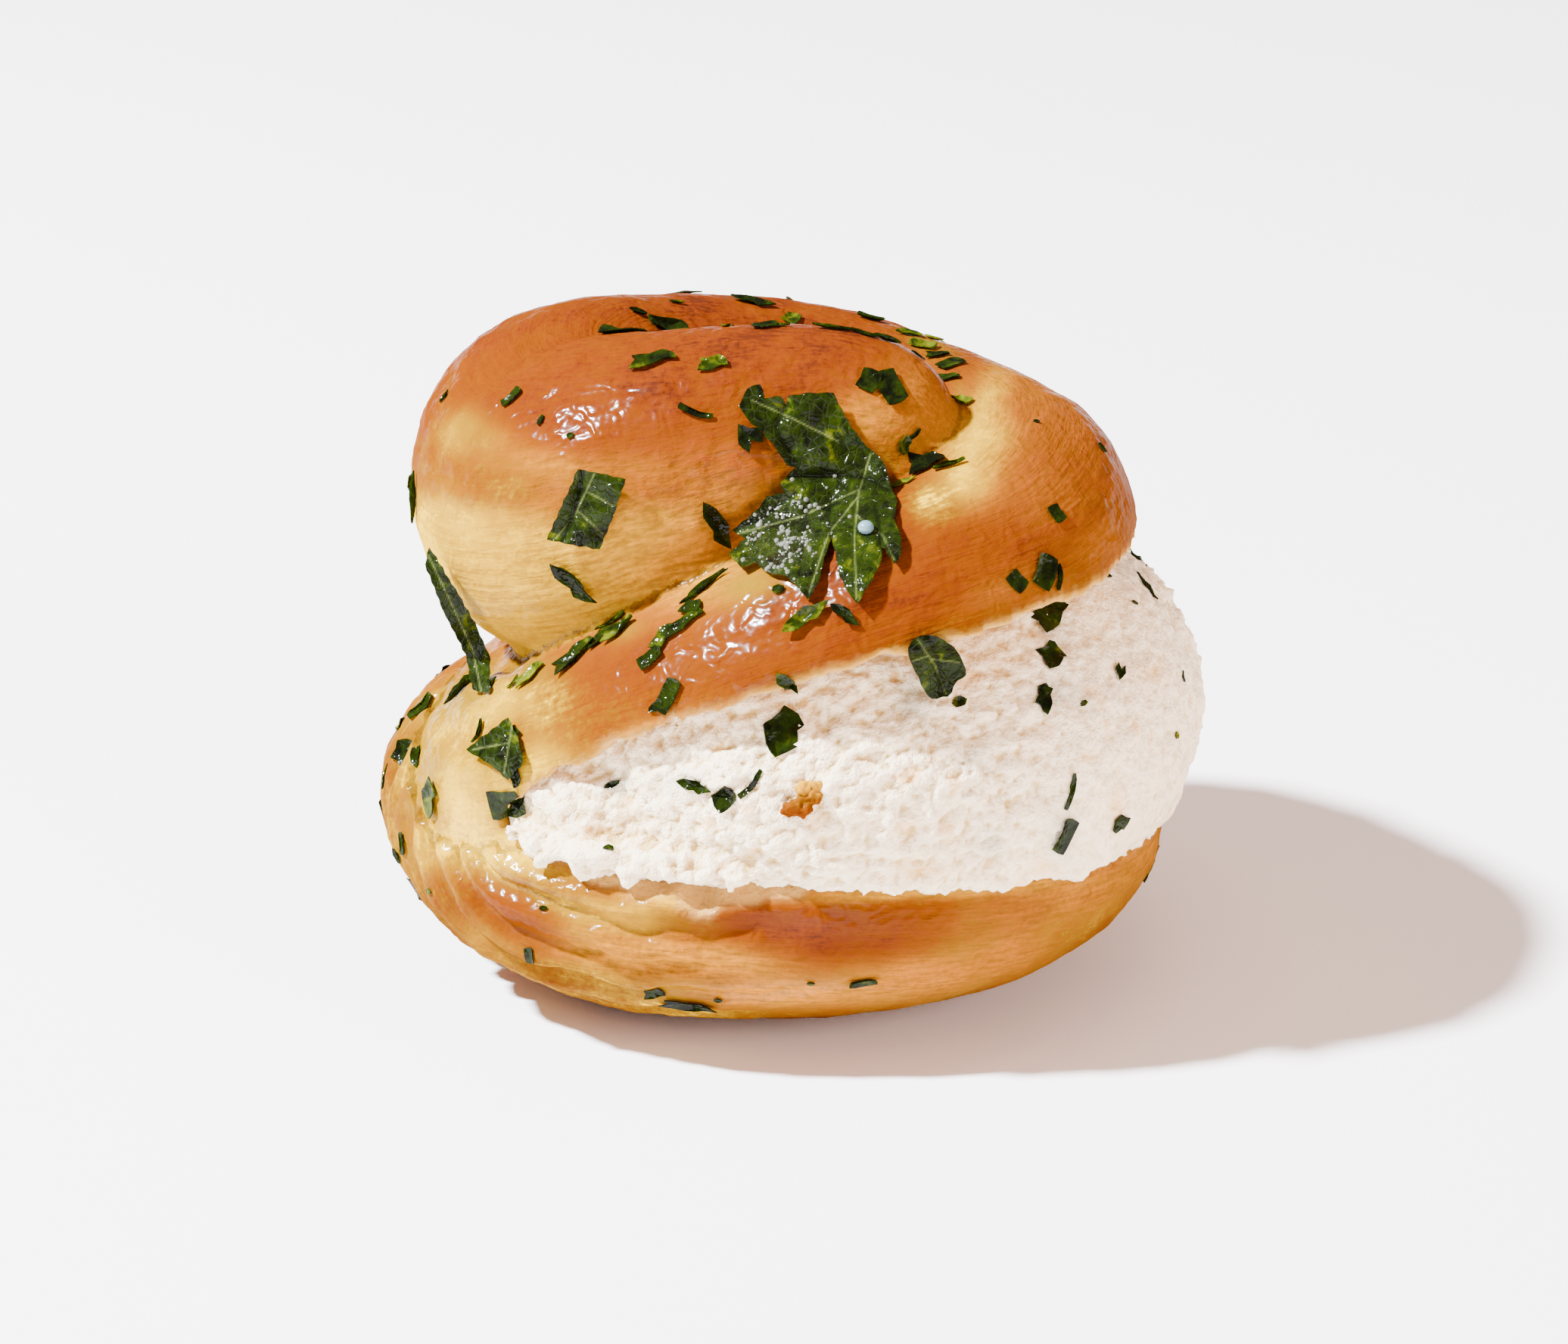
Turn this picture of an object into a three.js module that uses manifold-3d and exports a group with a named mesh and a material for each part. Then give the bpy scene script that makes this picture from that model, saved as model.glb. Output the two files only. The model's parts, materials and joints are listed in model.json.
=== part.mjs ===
// A knotted bread bun, slit open and filled with ricotta, scattered with chopped flat-leaf parsley.
// Millimetres, +Z up, X to the right of the filled side, origin on the table under the middle.
import * as THREE from "three";
import { mergeVertices } from "three/addons/utils/BufferGeometryUtils.js";
import Module from "manifold-3d";

const wasm = await Module();
wasm.setup();

// ---------------------------------------------------------------- driving sizes

const middle = { x: -0.245, y: -1.555 }; // middle of the bun in the layout below, moved onto the origin

// The rope of dough, from its outer end at the left, forward, round the right and the back, to the raised
// inner tip. Each station is x, y, z of the rope's middle and the rope's radius.
const rope = [
  [-20, 6, 18.5, 12], // outer end, sunk into the heel
  [-23, -12, 19.5, 11],
  [-11, -21, 28, 11], // climbs over the filling at the front
  [3, -24, 36.3, 11],
  [15.5, -19.5, 41.3, 11.5],
  [18.5, -5, 43, 12], // widest at the right
  [12, 9, 44.3, 10.7],
  [1, 17, 44.6, 12], // back
  [-12, 13, 45.5, 13],
  [-20, 5, 46, 14], // turns in at the left
  [-19.7, -3, 43.8, 14.6],
  [-12.5, -8, 47.6, 13.5],
  [-4, -9.5, 51, 11],
  [2, -10, 52.4, 9.6],
  [5.5, -10.5, 52.2, 9], // inner tip, nested in the outer turn
];

// Rounded masses that the rope lies on: middle, half sizes, and how boxy each is (2 is an ellipsoid).
const crown = { at: [0, 1, 40], half: [22, 17, 9], power: 2 };
const base = { at: [-1.4, -1, 14.5], half: [35.6, 33.5, 16], power: 2.2 };
const heel = { at: [-21.5, -1, 15.3], half: [16.5, 24, 13], power: 2 };

// Folds that run round the left of the lower half.
const foldSpacing = 5.6;
const foldDepth = 0.55;
const foldTop = 16.2;

// The slit: closed along a line at the left, open to the right.
const slit = { hingeX: -27, skew: 0.08, floor: 19.2, fall: 0.045, bow: 0.0022, apex: 2.4, apexOver: 3.5 };
const slitRoof = { start: 21, rise: 25, over: 25 };
const fillingGap = 0.3; // between the filling and the crumb on each side
const filling = { at: [4, -1.5, 24.5], half: [33.4, 34, 22], below: 23.6, power: 2 };
const fillingTail = { at: [-13, -1, 22], half: [15, 28.8, 9], power: 3 }; // runs into the closed end of the slit
const curdHeight = 0.5;

const leafThick = 0.5;
const leafGap = 0.45;
const flakeThick = 0.7;

// Where the parsley is laid out from: an eye in front of the bun, looking slightly down. Places across and
// up are millimetres on the upright plane through the aim.
const eye = { aim: [-1.05, 0, 26.2], down: 20, away: 404 };

// Parsley flakes on the crust that show most: across, up, length, width, turn in degrees from across.
const crustFlakes = [
  [-25, 25.4, 2, 1, 35], [-11, 32, 4.2, 1.6, 25], [-12.3, 28.8, 4, 1.7, 8], [-6.7, 28.4, 2.6, 1.5, 0],
  [-8.1, 23.9, 3.2, 1, -18], [-3.5, 21.8, 2.6, 2.2, 50], [-2.2, 34, 3, 1.5, -20], [7.1, 27, 2, 1.6, 80],
  [9.7, 26.7, 3.6, 2.3, -75], [8.2, 32.2, 2.8, 1.1, -12], [12.3, 30.3, 4.4, 2.6, -15], [15.4, 27.6, 3.5, 2.5, 20],
  [16.4, 25.1, 2.4, 1.8, -60], [10.9, 21.3, 2, 1.1, 80], [12.8, 19.2, 3.4, 2.4, 20], [12.6, 17.2, 2.2, 0.9, 10],
  [-18.6, 3, 5.2, 2.4, 55], [-19.6, 8.4, 5.2, 1.3, -55], [-7, 13.6, 5.4, 1.5, -60], [-7.4, 8.6, 5.6, 1, 50],
  [-10.4, 5, 4.6, 2, 20], [-10.8, -2.2, 3.2, 1.4, 60], [2.3, 5.1, 4.8, 1.5, 32], [6.1, 5.1, 3.4, 1.1, -38],
  [0.9, -1, 2.6, 1.4, -50], [25.2, 14.6, 1.7, 1.4, 60], [21.6, 8.4, 2, 1.6, 50], [24.4, 8.4, 3.8, 1.8, 80],
  [-33.3, -6.5, 3, 2.2, 60], [-32.2, -11.5, 3.4, 2.4, 55], [-26.1, -12.2, 3.2, 2.6, 10], [-24.2, -0.8, 2.6, 1.7, 40],
  [-30.2, -1.8, 3.4, 1.4, 25], [-23.7, -26.2, 1.4, 1, 80], [7.4, -28.6, 2.4, 0.9, 0], [-12, -29.8, 2.4, 0.9, 5],
];
// The same on the filling.
const fillingFlakes = [
  [-0.5, -5.4, 4.2, 2.8, 70], [-8.2, -10.4, 3, 1.2, -18], [-5.2, -11.4, 2.3, 1.7, 50], [-3, -10.3, 2.8, 1, 50],
  [24.8, 5, 3.8, 2.3, 50], [24.6, 1.2, 2.5, 2.2, 30], [24.1, -2.4, 2.2, 1.7, 80], [31.1, 0, 2, 1.2, 70],
  [26.4, -11, 3, 1, 85], [26, -15.2, 3.4, 1.3, 80], [31.1, -14, 2.3, 1.6, 0],
];
const hiddenFlakes = 46; // more of them round the back and sides, by rule
const hiddenSeed = 7;

// Pieces of leaf large enough to lift off: the corners of each one's edge, anticlockwise.
const leafEdges = {
  leaf_folded: [
    [4.5, 25.8], [0, 25.4], [-1.7, 25.3], [-2.4, 26.7], [-4.1, 24.8], [-2.2, 22.4], [-0.6, 20.6], [1.1, 18.6],
    [-0.6, 17.3], [0.3, 16.2], [-1.7, 16.4], [-4.9, 13.2], [-4.6, 10.9], [-2.2, 9.8], [1.1, 8.9], [2.1, 6.9],
    [3.6, 9.6], [4.5, 11.6], [5.2, 9.2], [6.7, 6.2], [8.3, 9.6], [9, 11.7], [10.2, 10], [10.9, 11.2],
    [10.7, 14.3], [9.9, 17.2], [9.1, 19.5], [7.6, 20.7], [5.9, 23.1],
  ],
  leaf_square: [[-18.8, 18.5], [-21.8, 12.7], [-17.3, 10.9], [-14.7, 17.2]],
  leaf_point: [[12.2, 3.2], [11, 0.4], [13.2, -2.2], [16.5, -1.4], [16.8, 1.2], [14.6, 3.4]],
  leaf_fork: [[-25.6, -4.2], [-29.5, -7.2], [-27.2, -8.6], [-25.6, -10], [-24.2, -8.4], [-24.6, -6.4]],
  leaf_strip: [
    [-32.9, 11.6], [-33.3, 10], [-31.6, 5.6], [-29.5, 1.6], [-28.9, -1.6], [-27.4, -2],
    [-27.2, 1.2], [-28.4, 4], [-30.2, 7.2],
  ],
};
const leafGrid = 1.25; // spacing of the folds a leaf can follow
const leafWave = 0.3;
const foldLine = { left: 18.3, slope: -0.13, width: 1.1, sink: 0.35 }; // across the folded leaf

// ---------------------------------------------------------------- solids

function solidOf(geometry) {
  const bare = geometry.index ? geometry.toNonIndexed() : geometry.clone();
  bare.deleteAttribute("normal");
  bare.deleteAttribute("uv");
  const merged = mergeVertices(bare, 1e-4);
  return new wasm.Manifold(
    new wasm.Mesh({
      numProp: 3,
      vertProperties: new Float32Array(merged.attributes.position.array),
      triVerts: new Uint32Array(merged.index.array),
    }),
  );
}

function geometryOf(solid) {
  const mesh = solid.getMesh();
  const places = new Float32Array(mesh.numVert * 3);
  for (let i = 0; i < mesh.numVert; i++) {
    places.set(mesh.vertProperties.subarray(i * mesh.numProp, i * mesh.numProp + 3), i * 3);
  }
  const geometry = new THREE.BufferGeometry();
  geometry.setAttribute("position", new THREE.BufferAttribute(places, 3));
  geometry.setIndex(new THREE.BufferAttribute(new Uint32Array(mesh.triVerts), 1));
  geometry.computeVertexNormals();
  return geometry;
}

const joined = (solids) => solids.reduce((a, b) => a.add(b));

// Moves every vertex of a geometry by a function of its place.
function reshape(geometry, move) {
  const place = geometry.attributes.position;
  const at = new THREE.Vector3();
  for (let i = 0; i < place.count; i++) {
    move(at.fromBufferAttribute(place, i));
    place.setXYZ(i, at.x, at.y, at.z);
  }
  return geometry;
}

// The same draw every time.
function drawer(seed) {
  let state = seed;
  return (low, high) => {
    state = (state * 16807) % 2147483647;
    return low + ((high - low) * state) / 2147483647;
  };
}

// ---------------------------------------------------------------- bread

// A capsule bent along the rope's stations, as thick at each as they say.
function ropeGeometry(stations) {
  const path = new THREE.CatmullRomCurve3(
    stations.map(([x, y, z]) => new THREE.Vector3(x, y, z)), false, "catmullrom", 0.5);
  const girth = new THREE.CatmullRomCurve3(
    stations.map(([, , , radius]) => new THREE.Vector3(radius, 0, 0)), false, "catmullrom", 0.5);
  const up = new THREE.Vector3(0, 0, 1);
  const capsule = new THREE.CapsuleGeometry(1, 1, 5, 22, (stations.length - 1) * 5);
  return reshape(capsule, (at) => {
    const along = THREE.MathUtils.clamp(at.y, -0.5, 0.5);
    const past = at.y - along;
    const t = along + 0.5;
    const radius = girth.getPoint(t).x;
    const ahead = path.getTangent(t);
    const side = new THREE.Vector3().crossVectors(ahead, up).normalize();
    const over = new THREE.Vector3().crossVectors(side, ahead);
    const { x, z } = at;
    at.copy(path.getPoint(t))
      .addScaledVector(ahead, past * radius)
      .addScaledVector(side, x * radius)
      .addScaledVector(over, z * radius);
  });
}

// How far a point of the lower half is pushed out by the folds at the left.
function foldLift(x, z) {
  const share = THREE.MathUtils.smoothstep(-x, 6, 24) * THREE.MathUtils.smoothstep(z, 2, 8);
  return share * foldDepth * Math.cos(((z - foldTop) * 2 * Math.PI) / foldSpacing);
}

// A rounded mass, with a flat foot where it would go below the table.
function massGeometry({ at: [x, y, z], half: [a, b, c], power = 2, below = c }, across, folded = false) {
  return reshape(new THREE.SphereGeometry(1, across, across / 2).rotateX(Math.PI / 2), (at) => {
    const size = (Math.abs(at.x) ** power + Math.abs(at.y) ** power + Math.abs(at.z) ** power) ** (1 / power);
    at.divideScalar(size);
    at.set(x + at.x * a, y + at.y * b, Math.max(0, z + at.z * (at.z > 0 ? c : below)));
    if (folded && at.z > 0) {
      const lift = foldLift(at.x, at.z);
      const out = Math.hypot(at.x - x, at.y - y) || 1;
      at.x += (lift * (at.x - x)) / out;
      at.y += (lift * (at.y - y)) / out;
    }
  });
}

const slitLow = (x) =>
  slit.floor - slit.fall * x - slit.bow * x * x + slit.apex * Math.exp(-(x - slit.hingeX) / slit.apexOver);
const slitHigh = (x) => slitRoof.start + slitRoof.rise * (1 - Math.exp(-(x - slit.hingeX) / slitRoof.over));

// The space between the two halves, drawn in by a gap on both faces.
function slitGeometry(gap) {
  const reach = 80;
  return reshape(new THREE.BoxGeometry(1, 1, 1, 26, 8, 1), (at) => {
    const flat = slit.hingeX + reach * (at.x + 0.5) ** 1.6;
    const y = at.y * 100;
    const z = at.z > 0 ? slitHigh(flat) - gap : slitLow(flat) + gap;
    at.set(flat + (y + 26) * slit.skew, y, z);
  });
}

const dough = joined([
  solidOf(ropeGeometry(rope)),
  solidOf(massGeometry(crown, 24)),
  solidOf(massGeometry(base, 56, true)),
  solidOf(massGeometry(heel, 40, true)),
]);

// ---------------------------------------------------------------- filling

// Soft lumps of curd, as a sum of waves that don't line up.
function curdLift(x, y, z) {
  return (
    Math.sin(x * 0.9 + 1.3 * Math.sin(z * 0.5)) * Math.sin(z * 1.1 + y * 0.35) * 0.6 +
    Math.sin(x * 0.43 - z * 0.61 + y * 0.3) * 0.4
  );
}

function curdGeometry(mass, across) {
  const from = new THREE.Vector3(...mass.at);
  return reshape(massGeometry(mass, across), (at) => {
    const out = at.clone().sub(from).normalize();
    at.addScaledVector(out, curdHeight * curdLift(at.x, at.y, at.z));
  });
}

const curd = joined([solidOf(curdGeometry(filling, 56)), solidOf(curdGeometry(fillingTail, 40))]);

// ---------------------------------------------------------------- parsley

const lookDown = THREE.MathUtils.degToRad(eye.down);
const ahead = new THREE.Vector3(0, Math.cos(lookDown), -Math.sin(lookDown));
const upward = new THREE.Vector3(0, Math.sin(lookDown), Math.cos(lookDown));
const eyeAt = new THREE.Vector3(...eye.aim).addScaledVector(ahead, -eye.away);

const sightTo = (across, up) =>
  new THREE.Vector3(...eye.aim).add(new THREE.Vector3(across, 0, 0)).addScaledVector(upward, up).sub(eyeAt).normalize();

const caster = new THREE.Raycaster();
function firstHit(mesh, from, towards) {
  caster.set(from, towards);
  return caster.intersectObject(mesh)[0];
}

// A chopped flake: an uneven polygon, sunk half its thickness into what it lies on.
function flakeAt(hit, length, width, turn, draw) {
  const corners = length > 3.4 ? 7 : 5;
  const outline = new THREE.Shape();
  for (let i = 0; i < corners; i++) {
    const a = ((i + draw(-0.22, 0.22)) * 2 * Math.PI) / corners;
    const r = draw(0.42, 0.58);
    outline[i ? "lineTo" : "moveTo"](Math.cos(a) * length * r, Math.sin(a) * width * r);
  }
  outline.closePath();
  const flake = new THREE.ExtrudeGeometry(outline, { depth: flakeThick, bevelEnabled: false, steps: 1 });
  flake.translate(0, 0, -flakeThick / 2).rotateZ(THREE.MathUtils.degToRad(turn));
  const out = hit.face.normal;
  const side = new THREE.Vector3(1, 0, 0).addScaledVector(out, -out.x);
  if (side.length() < 0.2) side.set(0, 1, 0).addScaledVector(out, -out.y);
  side.normalize();
  const frame = new THREE.Matrix4().makeBasis(side, new THREE.Vector3().crossVectors(out, side), out);
  return solidOf(flake.applyMatrix4(frame.setPosition(hit.point)));
}

// Flakes seen from the eye, where the line of sight meets the mesh.
function seenFlakes(mesh, list, draw) {
  return list.flatMap(([across, up, length, width, turn]) => {
    const hit = firstHit(mesh, eyeAt, sightTo(across, up));
    return hit ? [flakeAt(hit, length, width, turn, draw)] : [];
  });
}

// Flakes spread evenly round the back and the sides: a spiral of directions from the middle, each shaken.
function flakesBehind(mesh, count, draw) {
  const golden = Math.PI * (3 - Math.sqrt(5));
  const from = new THREE.Vector3(0, 0, 30);
  const found = [];
  for (let i = 0; i < count; i++) {
    const rise = 0.97 - (1.5 * (i + draw(0, 1))) / count;
    const round = i * golden + draw(-0.3, 0.3);
    const flat = Math.sqrt(1 - rise * rise);
    const towards = new THREE.Vector3(Math.cos(round) * flat, Math.sin(round) * flat, rise);
    if (towards.y < -0.25 - 0.5 * rise) continue; // the side already laid out by sight
    const start = from.clone().addScaledVector(towards, 90);
    const hit = firstHit(mesh, start, towards.clone().negate());
    if (hit && hit.face.normal.z > -0.75 && hit.point.z > 2) {
      found.push(flakeAt(hit, draw(2, 4.2), draw(1.1, 2.4), draw(0, 180), draw));
    }
  }
  return found;
}

// How far a leaf stands off what it lies on, for its waves and the fold across the large one.
function leafLift(across, up) {
  const fromFold = (up - foldLine.left - foldLine.slope * across) / foldLine.width;
  return (
    leafWave * (1 + Math.sin(across * 1.1 + 0.6 * Math.sin(up * 0.7)) * Math.sin(up * 0.8 + 1)) +
    foldLine.sink * (1 - Math.exp(-fromFold * fromFold))
  );
}

// Lays a grid of sights on the mesh: the leaf touches where the mesh stands nearest and bridges hollows.
function layOn(mesh, grid) {
  const sights = grid.map((row) => row.map(([across, up]) => sightTo(across, up)));
  const limit = sights.map((row) => row.map((s) => (firstHit(mesh, eyeAt, s)?.distance ?? Infinity) - leafGap));
  const nearest = Math.min(...limit.flat());
  const away = limit.map((row) => row.map((d) => (Number.isFinite(d) ? d : nearest + 6)));
  for (let pass = 0; pass < 12; pass++) {
    const before = away.map((row) => [...row]);
    away.forEach((row, i) => row.forEach((_, j) => {
      const around = [before[i - 1]?.[j], before[i + 1]?.[j], before[i][j - 1], before[i][j + 1]]
        .filter((d) => d !== undefined);
      row[j] = Math.min(limit[i][j], around.reduce((a, b) => a + b) / around.length + 0.02);
    }));
  }
  return (raise) => away.map((row, i) => row.map((d, j) =>
    eyeAt.clone().addScaledVector(sights[i][j], d - raise - leafLift(...grid[i][j]))));
}

// A closed thin solid from two like grids, split into triangles alike.
function sheetGeometry(over, under) {
  const rows = over.length;
  const columns = over[0].length;
  const places = [...over.flat(), ...under.flat()].flatMap((p) => [p.x, p.y, p.z]);
  const top = (i, j) => i * columns + j;
  const low = (i, j) => rows * columns + top(i, j);
  const faces = [];
  for (let i = 0; i + 1 < rows; i++) {
    for (let j = 0; j + 1 < columns; j++) {
      faces.push(top(i, j), top(i, j + 1), top(i + 1, j + 1), top(i, j), top(i + 1, j + 1), top(i + 1, j));
      faces.push(low(i, j), low(i + 1, j + 1), low(i, j + 1), low(i, j), low(i + 1, j), low(i + 1, j + 1));
    }
  }
  const rim = [];
  for (let j = 0; j + 1 < columns; j++) rim.push([[0, j + 1], [0, j]], [[rows - 1, j], [rows - 1, j + 1]]);
  for (let i = 0; i + 1 < rows; i++) rim.push([[i, 0], [i + 1, 0]], [[i + 1, columns - 1], [i, columns - 1]]);
  for (const [[a, b], [c, d]] of rim) faces.push(top(a, b), top(c, d), low(c, d), top(a, b), low(c, d), low(a, b));
  const geometry = new THREE.BufferGeometry();
  geometry.setAttribute("position", new THREE.Float32BufferAttribute(places, 3));
  geometry.setIndex(faces);
  return geometry;
}

// A leaf: a sheet laid on the mesh over the whole of its edge's extent, cut out along the edge.
function leafGeometry(edge, mesh) {
  const across = edge.map(([x]) => x);
  const up = edge.map(([, y]) => y);
  const [left, right] = [Math.min(...across) - 0.2, Math.max(...across) + 0.2];
  const [low, high] = [Math.min(...up) - 0.2, Math.max(...up) + 0.2];
  const columns = Math.ceil((right - left) / leafGrid);
  const rows = Math.ceil((high - low) / leafGrid);
  const grid = Array.from({ length: rows + 1 }, (_, i) =>
    Array.from({ length: columns + 1 }, (_, j) => [
      right - ((right - left) * j) / columns,
      high - ((high - low) * i) / rows,
    ]));
  const laid = layOn(mesh, grid);
  const outline = new THREE.Shape(edge.map(([x, y]) => new THREE.Vector2(x, y)));
  const cutter = new THREE.ExtrudeGeometry(outline, { depth: 1, bevelEnabled: false, steps: 1 });
  reshape(cutter, (at) => {
    const away = at.z > 0.5 ? eye.away - 60 : eye.away + 60;
    at.copy(eyeAt.clone().addScaledVector(sightTo(at.x, at.y), away));
  });
  return geometryOf(solidOf(sheetGeometry(laid(leafThick), laid(0))).intersect(solidOf(cutter)));
}

// ---------------------------------------------------------------- the bun, put together

const finish = (colour, roughness) => new THREE.MeshStandardMaterial({ color: colour, roughness, metalness: 0 });
const crust = finish(0xc9752a, 0.35);
const cheese = finish(0xf4efe6, 0.65);
const leafGreen = finish(0x2f4a22, 0.4);

function meshOf(name, geometry, material) {
  const mesh = new THREE.Mesh(geometry, material);
  mesh.name = name;
  mesh.position.set(-middle.x, -middle.y, 0);
  return mesh;
}

const largest = (solid) => solid.decompose().sort((a, b) => b.volume() - a.volume())[0];

const cutDough = dough.subtract(solidOf(slitGeometry(0)));
const plainFilling = curd.intersect(solidOf(slitGeometry(fillingGap)));
const crustMesh = new THREE.Mesh(geometryOf(cutDough));
const fillingMesh = new THREE.Mesh(geometryOf(plainFilling));
const both = new THREE.Mesh(geometryOf(cutDough.add(plainFilling)));

const leaves = Object.fromEntries(
  Object.entries(leafEdges).map(([name, edge]) => [name, leafGeometry(edge, both)]));

// Room kept clear of flakes round each leaf.
const leafRoom = joined(Object.values(leaves).map(solidOf));

const draw = drawer(hiddenSeed);
const clearOfLeaves = (flake) => flake.intersect(leafRoom).isEmpty();
const onCrust = [...seenFlakes(crustMesh, crustFlakes, draw), ...flakesBehind(crustMesh, hiddenFlakes, draw)]
  .filter(clearOfLeaves);
const onFilling = seenFlakes(fillingMesh, fillingFlakes, draw).filter(clearOfLeaves);

const bread = largest(joined([dough, ...onCrust]).subtract(solidOf(slitGeometry(0))));
const cream = largest(joined([curd, ...onFilling]).intersect(solidOf(slitGeometry(fillingGap))));

const bun = new THREE.Group();
bun.add(meshOf("bun", geometryOf(bread), crust));
bun.add(meshOf("ricotta", geometryOf(cream), cheese));
for (const [name, geometry] of Object.entries(leaves)) bun.add(meshOf(name, geometry, leafGreen));

export default bun;
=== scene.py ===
import json
import math

import bpy
import numpy as np
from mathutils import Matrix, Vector, noise
from mathutils.bvhtree import BVHTree

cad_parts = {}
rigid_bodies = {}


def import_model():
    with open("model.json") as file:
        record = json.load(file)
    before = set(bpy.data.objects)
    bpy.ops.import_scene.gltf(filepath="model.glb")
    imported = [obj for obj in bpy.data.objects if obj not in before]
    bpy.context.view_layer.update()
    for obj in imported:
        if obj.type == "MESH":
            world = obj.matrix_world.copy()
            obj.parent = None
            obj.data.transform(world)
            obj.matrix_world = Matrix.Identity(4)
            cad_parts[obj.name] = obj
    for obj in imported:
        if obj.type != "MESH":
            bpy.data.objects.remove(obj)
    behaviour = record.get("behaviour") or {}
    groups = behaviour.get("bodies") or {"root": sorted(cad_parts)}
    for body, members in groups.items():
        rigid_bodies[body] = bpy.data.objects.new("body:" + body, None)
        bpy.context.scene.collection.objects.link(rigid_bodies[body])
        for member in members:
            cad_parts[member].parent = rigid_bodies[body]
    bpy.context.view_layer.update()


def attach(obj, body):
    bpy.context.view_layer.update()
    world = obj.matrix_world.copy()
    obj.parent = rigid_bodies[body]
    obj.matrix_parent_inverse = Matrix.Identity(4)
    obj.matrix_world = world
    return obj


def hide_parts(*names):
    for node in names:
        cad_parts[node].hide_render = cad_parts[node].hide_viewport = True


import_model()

millimetre = 0.001
middle = Vector((-0.245, -1.555, 0))  # middle of the bun in the layout, moved onto the origin
crispFrom = math.radians(48)  # edges sharper than this stay crisp on thin pieces
chance = np.random.default_rng(11)


def linear(hexColour):
    parts = [int(hexColour[i : i + 2], 16) / 255 for i in (1, 3, 5)]
    return [c / 12.92 if c <= 0.04045 else ((c + 0.055) / 1.055) ** 2.4 for c in parts] + [1]


def addNode(tree, kind, inputs=None, **settings):
    # Adds a node, sets it up, and links or fills its inputs; a sum such as ("ADD", a, b) gets a node of its own
    node = tree.nodes.new(kind)
    for key, value in settings.items():
        setattr(node, key, value)
    for key, value in (inputs or {}).items():
        if isinstance(value, tuple) and isinstance(value[0], str):
            value = addNode(tree, "ShaderNodeMath", dict(enumerate(value[1:])), operation=value[0])
        if isinstance(value, bpy.types.Node):
            value = value.outputs[0]
        if isinstance(value, bpy.types.NodeSocket):
            tree.links.new(value, node.inputs[key])
        else:
            node.inputs[key].default_value = linear(value) if str(value).startswith("#") else value
    return node


def around(value, width):
    # A value's swing about its middle, as a sum for addNode
    return ("MULTIPLY", ("SUBTRACT", value, 0.5), width)


def total(first, *others):
    for other in others:
        first = ("ADD", first, other)
    return first


def meshObject(name, points, faces):
    mesh = bpy.data.meshes.new(name)
    mesh.from_pydata([tuple(p) for p in points], [], faces)
    mesh.update()
    thing = bpy.data.objects.new(name, mesh)
    bpy.context.scene.collection.objects.link(thing)
    return thing


def pointsOf(mesh):
    flat = np.empty(len(mesh.vertices) * 3, np.float32)
    mesh.vertices.foreach_get("co", flat)
    return flat.reshape(-1, 3).astype(float)


def normalsOf(mesh):
    flat = np.empty(len(mesh.vertices) * 3, np.float32)
    mesh.vertex_normals.foreach_get("vector", flat)
    return flat.reshape(-1, 3).astype(float)


def movePoints(mesh, points):
    mesh.vertices.foreach_set("co", points.astype(np.float32).ravel())
    mesh.update()


def baked(thing):
    # Turns what the modifiers make into the object's own plain mesh
    result = bpy.data.meshes.new_from_object(thing.evaluated_get(bpy.context.evaluated_depsgraph_get()))
    thing.modifiers.clear()
    old = thing.data
    thing.data = result
    bpy.data.meshes.remove(old)
    return thing


def withModifier(thing, kind, **settings):
    modifier = thing.modifiers.new(kind.lower(), kind)
    for key, value in settings.items():
        setattr(modifier, key, value)
    return baked(thing)


def gathered(things):
    points, faces = [], []
    for thing in things:
        start = len(points)
        points += [tuple(v.co) for v in thing.data.vertices]
        faces += [[start + i for i in p.vertices] for p in thing.data.polygons]
    return points, faces


def joinAll(things):
    points, faces = gathered(things)
    for thing in things:
        bpy.data.objects.remove(thing)
    return meshObject("joined", points, faces)


def addFloats(mesh, name, values):
    attribute = mesh.attributes.new(name, "FLOAT", "POINT")
    attribute.data.foreach_set("value", np.asarray(values, np.float32))


def addVectors(mesh, name, values):
    attribute = mesh.attributes.new(name, "FLOAT_VECTOR", "POINT")
    attribute.data.foreach_set("vector", np.asarray(values, np.float32).ravel())


def step(low, high, value):
    t = np.clip((value - low) / (high - low), 0, 1)
    return t * t * (3 - 2 * t)


def runTree(thing, tree, values):
    # Runs a Geometry Nodes tree once on a piece, with its inputs set by identifier
    modifier = thing.modifiers.new(tree.name, "NODES")
    modifier.node_group = tree
    for item in tree.interface.items_tree:
        if item.item_type == "SOCKET" and item.in_out == "INPUT" and item.name in values:
            modifier[item.identifier] = values[item.name]
    return baked(thing)


def geometryTree(name, sizes):
    # A new tree with its sizes as inputs, and the sockets that give them
    tree = bpy.data.node_groups.new(name, "GeometryNodeTree")
    tree.interface.new_socket("Geometry", in_out="INPUT", socket_type="NodeSocketGeometry")
    for label, value in sizes.items():
        kind = "NodeSocketInt" if isinstance(value, int) else "NodeSocketFloat"
        tree.interface.new_socket(label, in_out="INPUT", socket_type=kind).default_value = value
    tree.interface.new_socket("Geometry", in_out="OUTPUT", socket_type="NodeSocketGeometry")
    return tree, addNode(tree, "NodeGroupInput").outputs


def namedIn(tree, kind, *names):
    # Attributes of the geometry that the tree works on
    nodes = [addNode(tree, "GeometryNodeInputNamedAttribute", {"Name": name}, data_type=kind) for name in names]
    return {name: node.outputs["Attribute"] for name, node in zip(names, nodes)}


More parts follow.
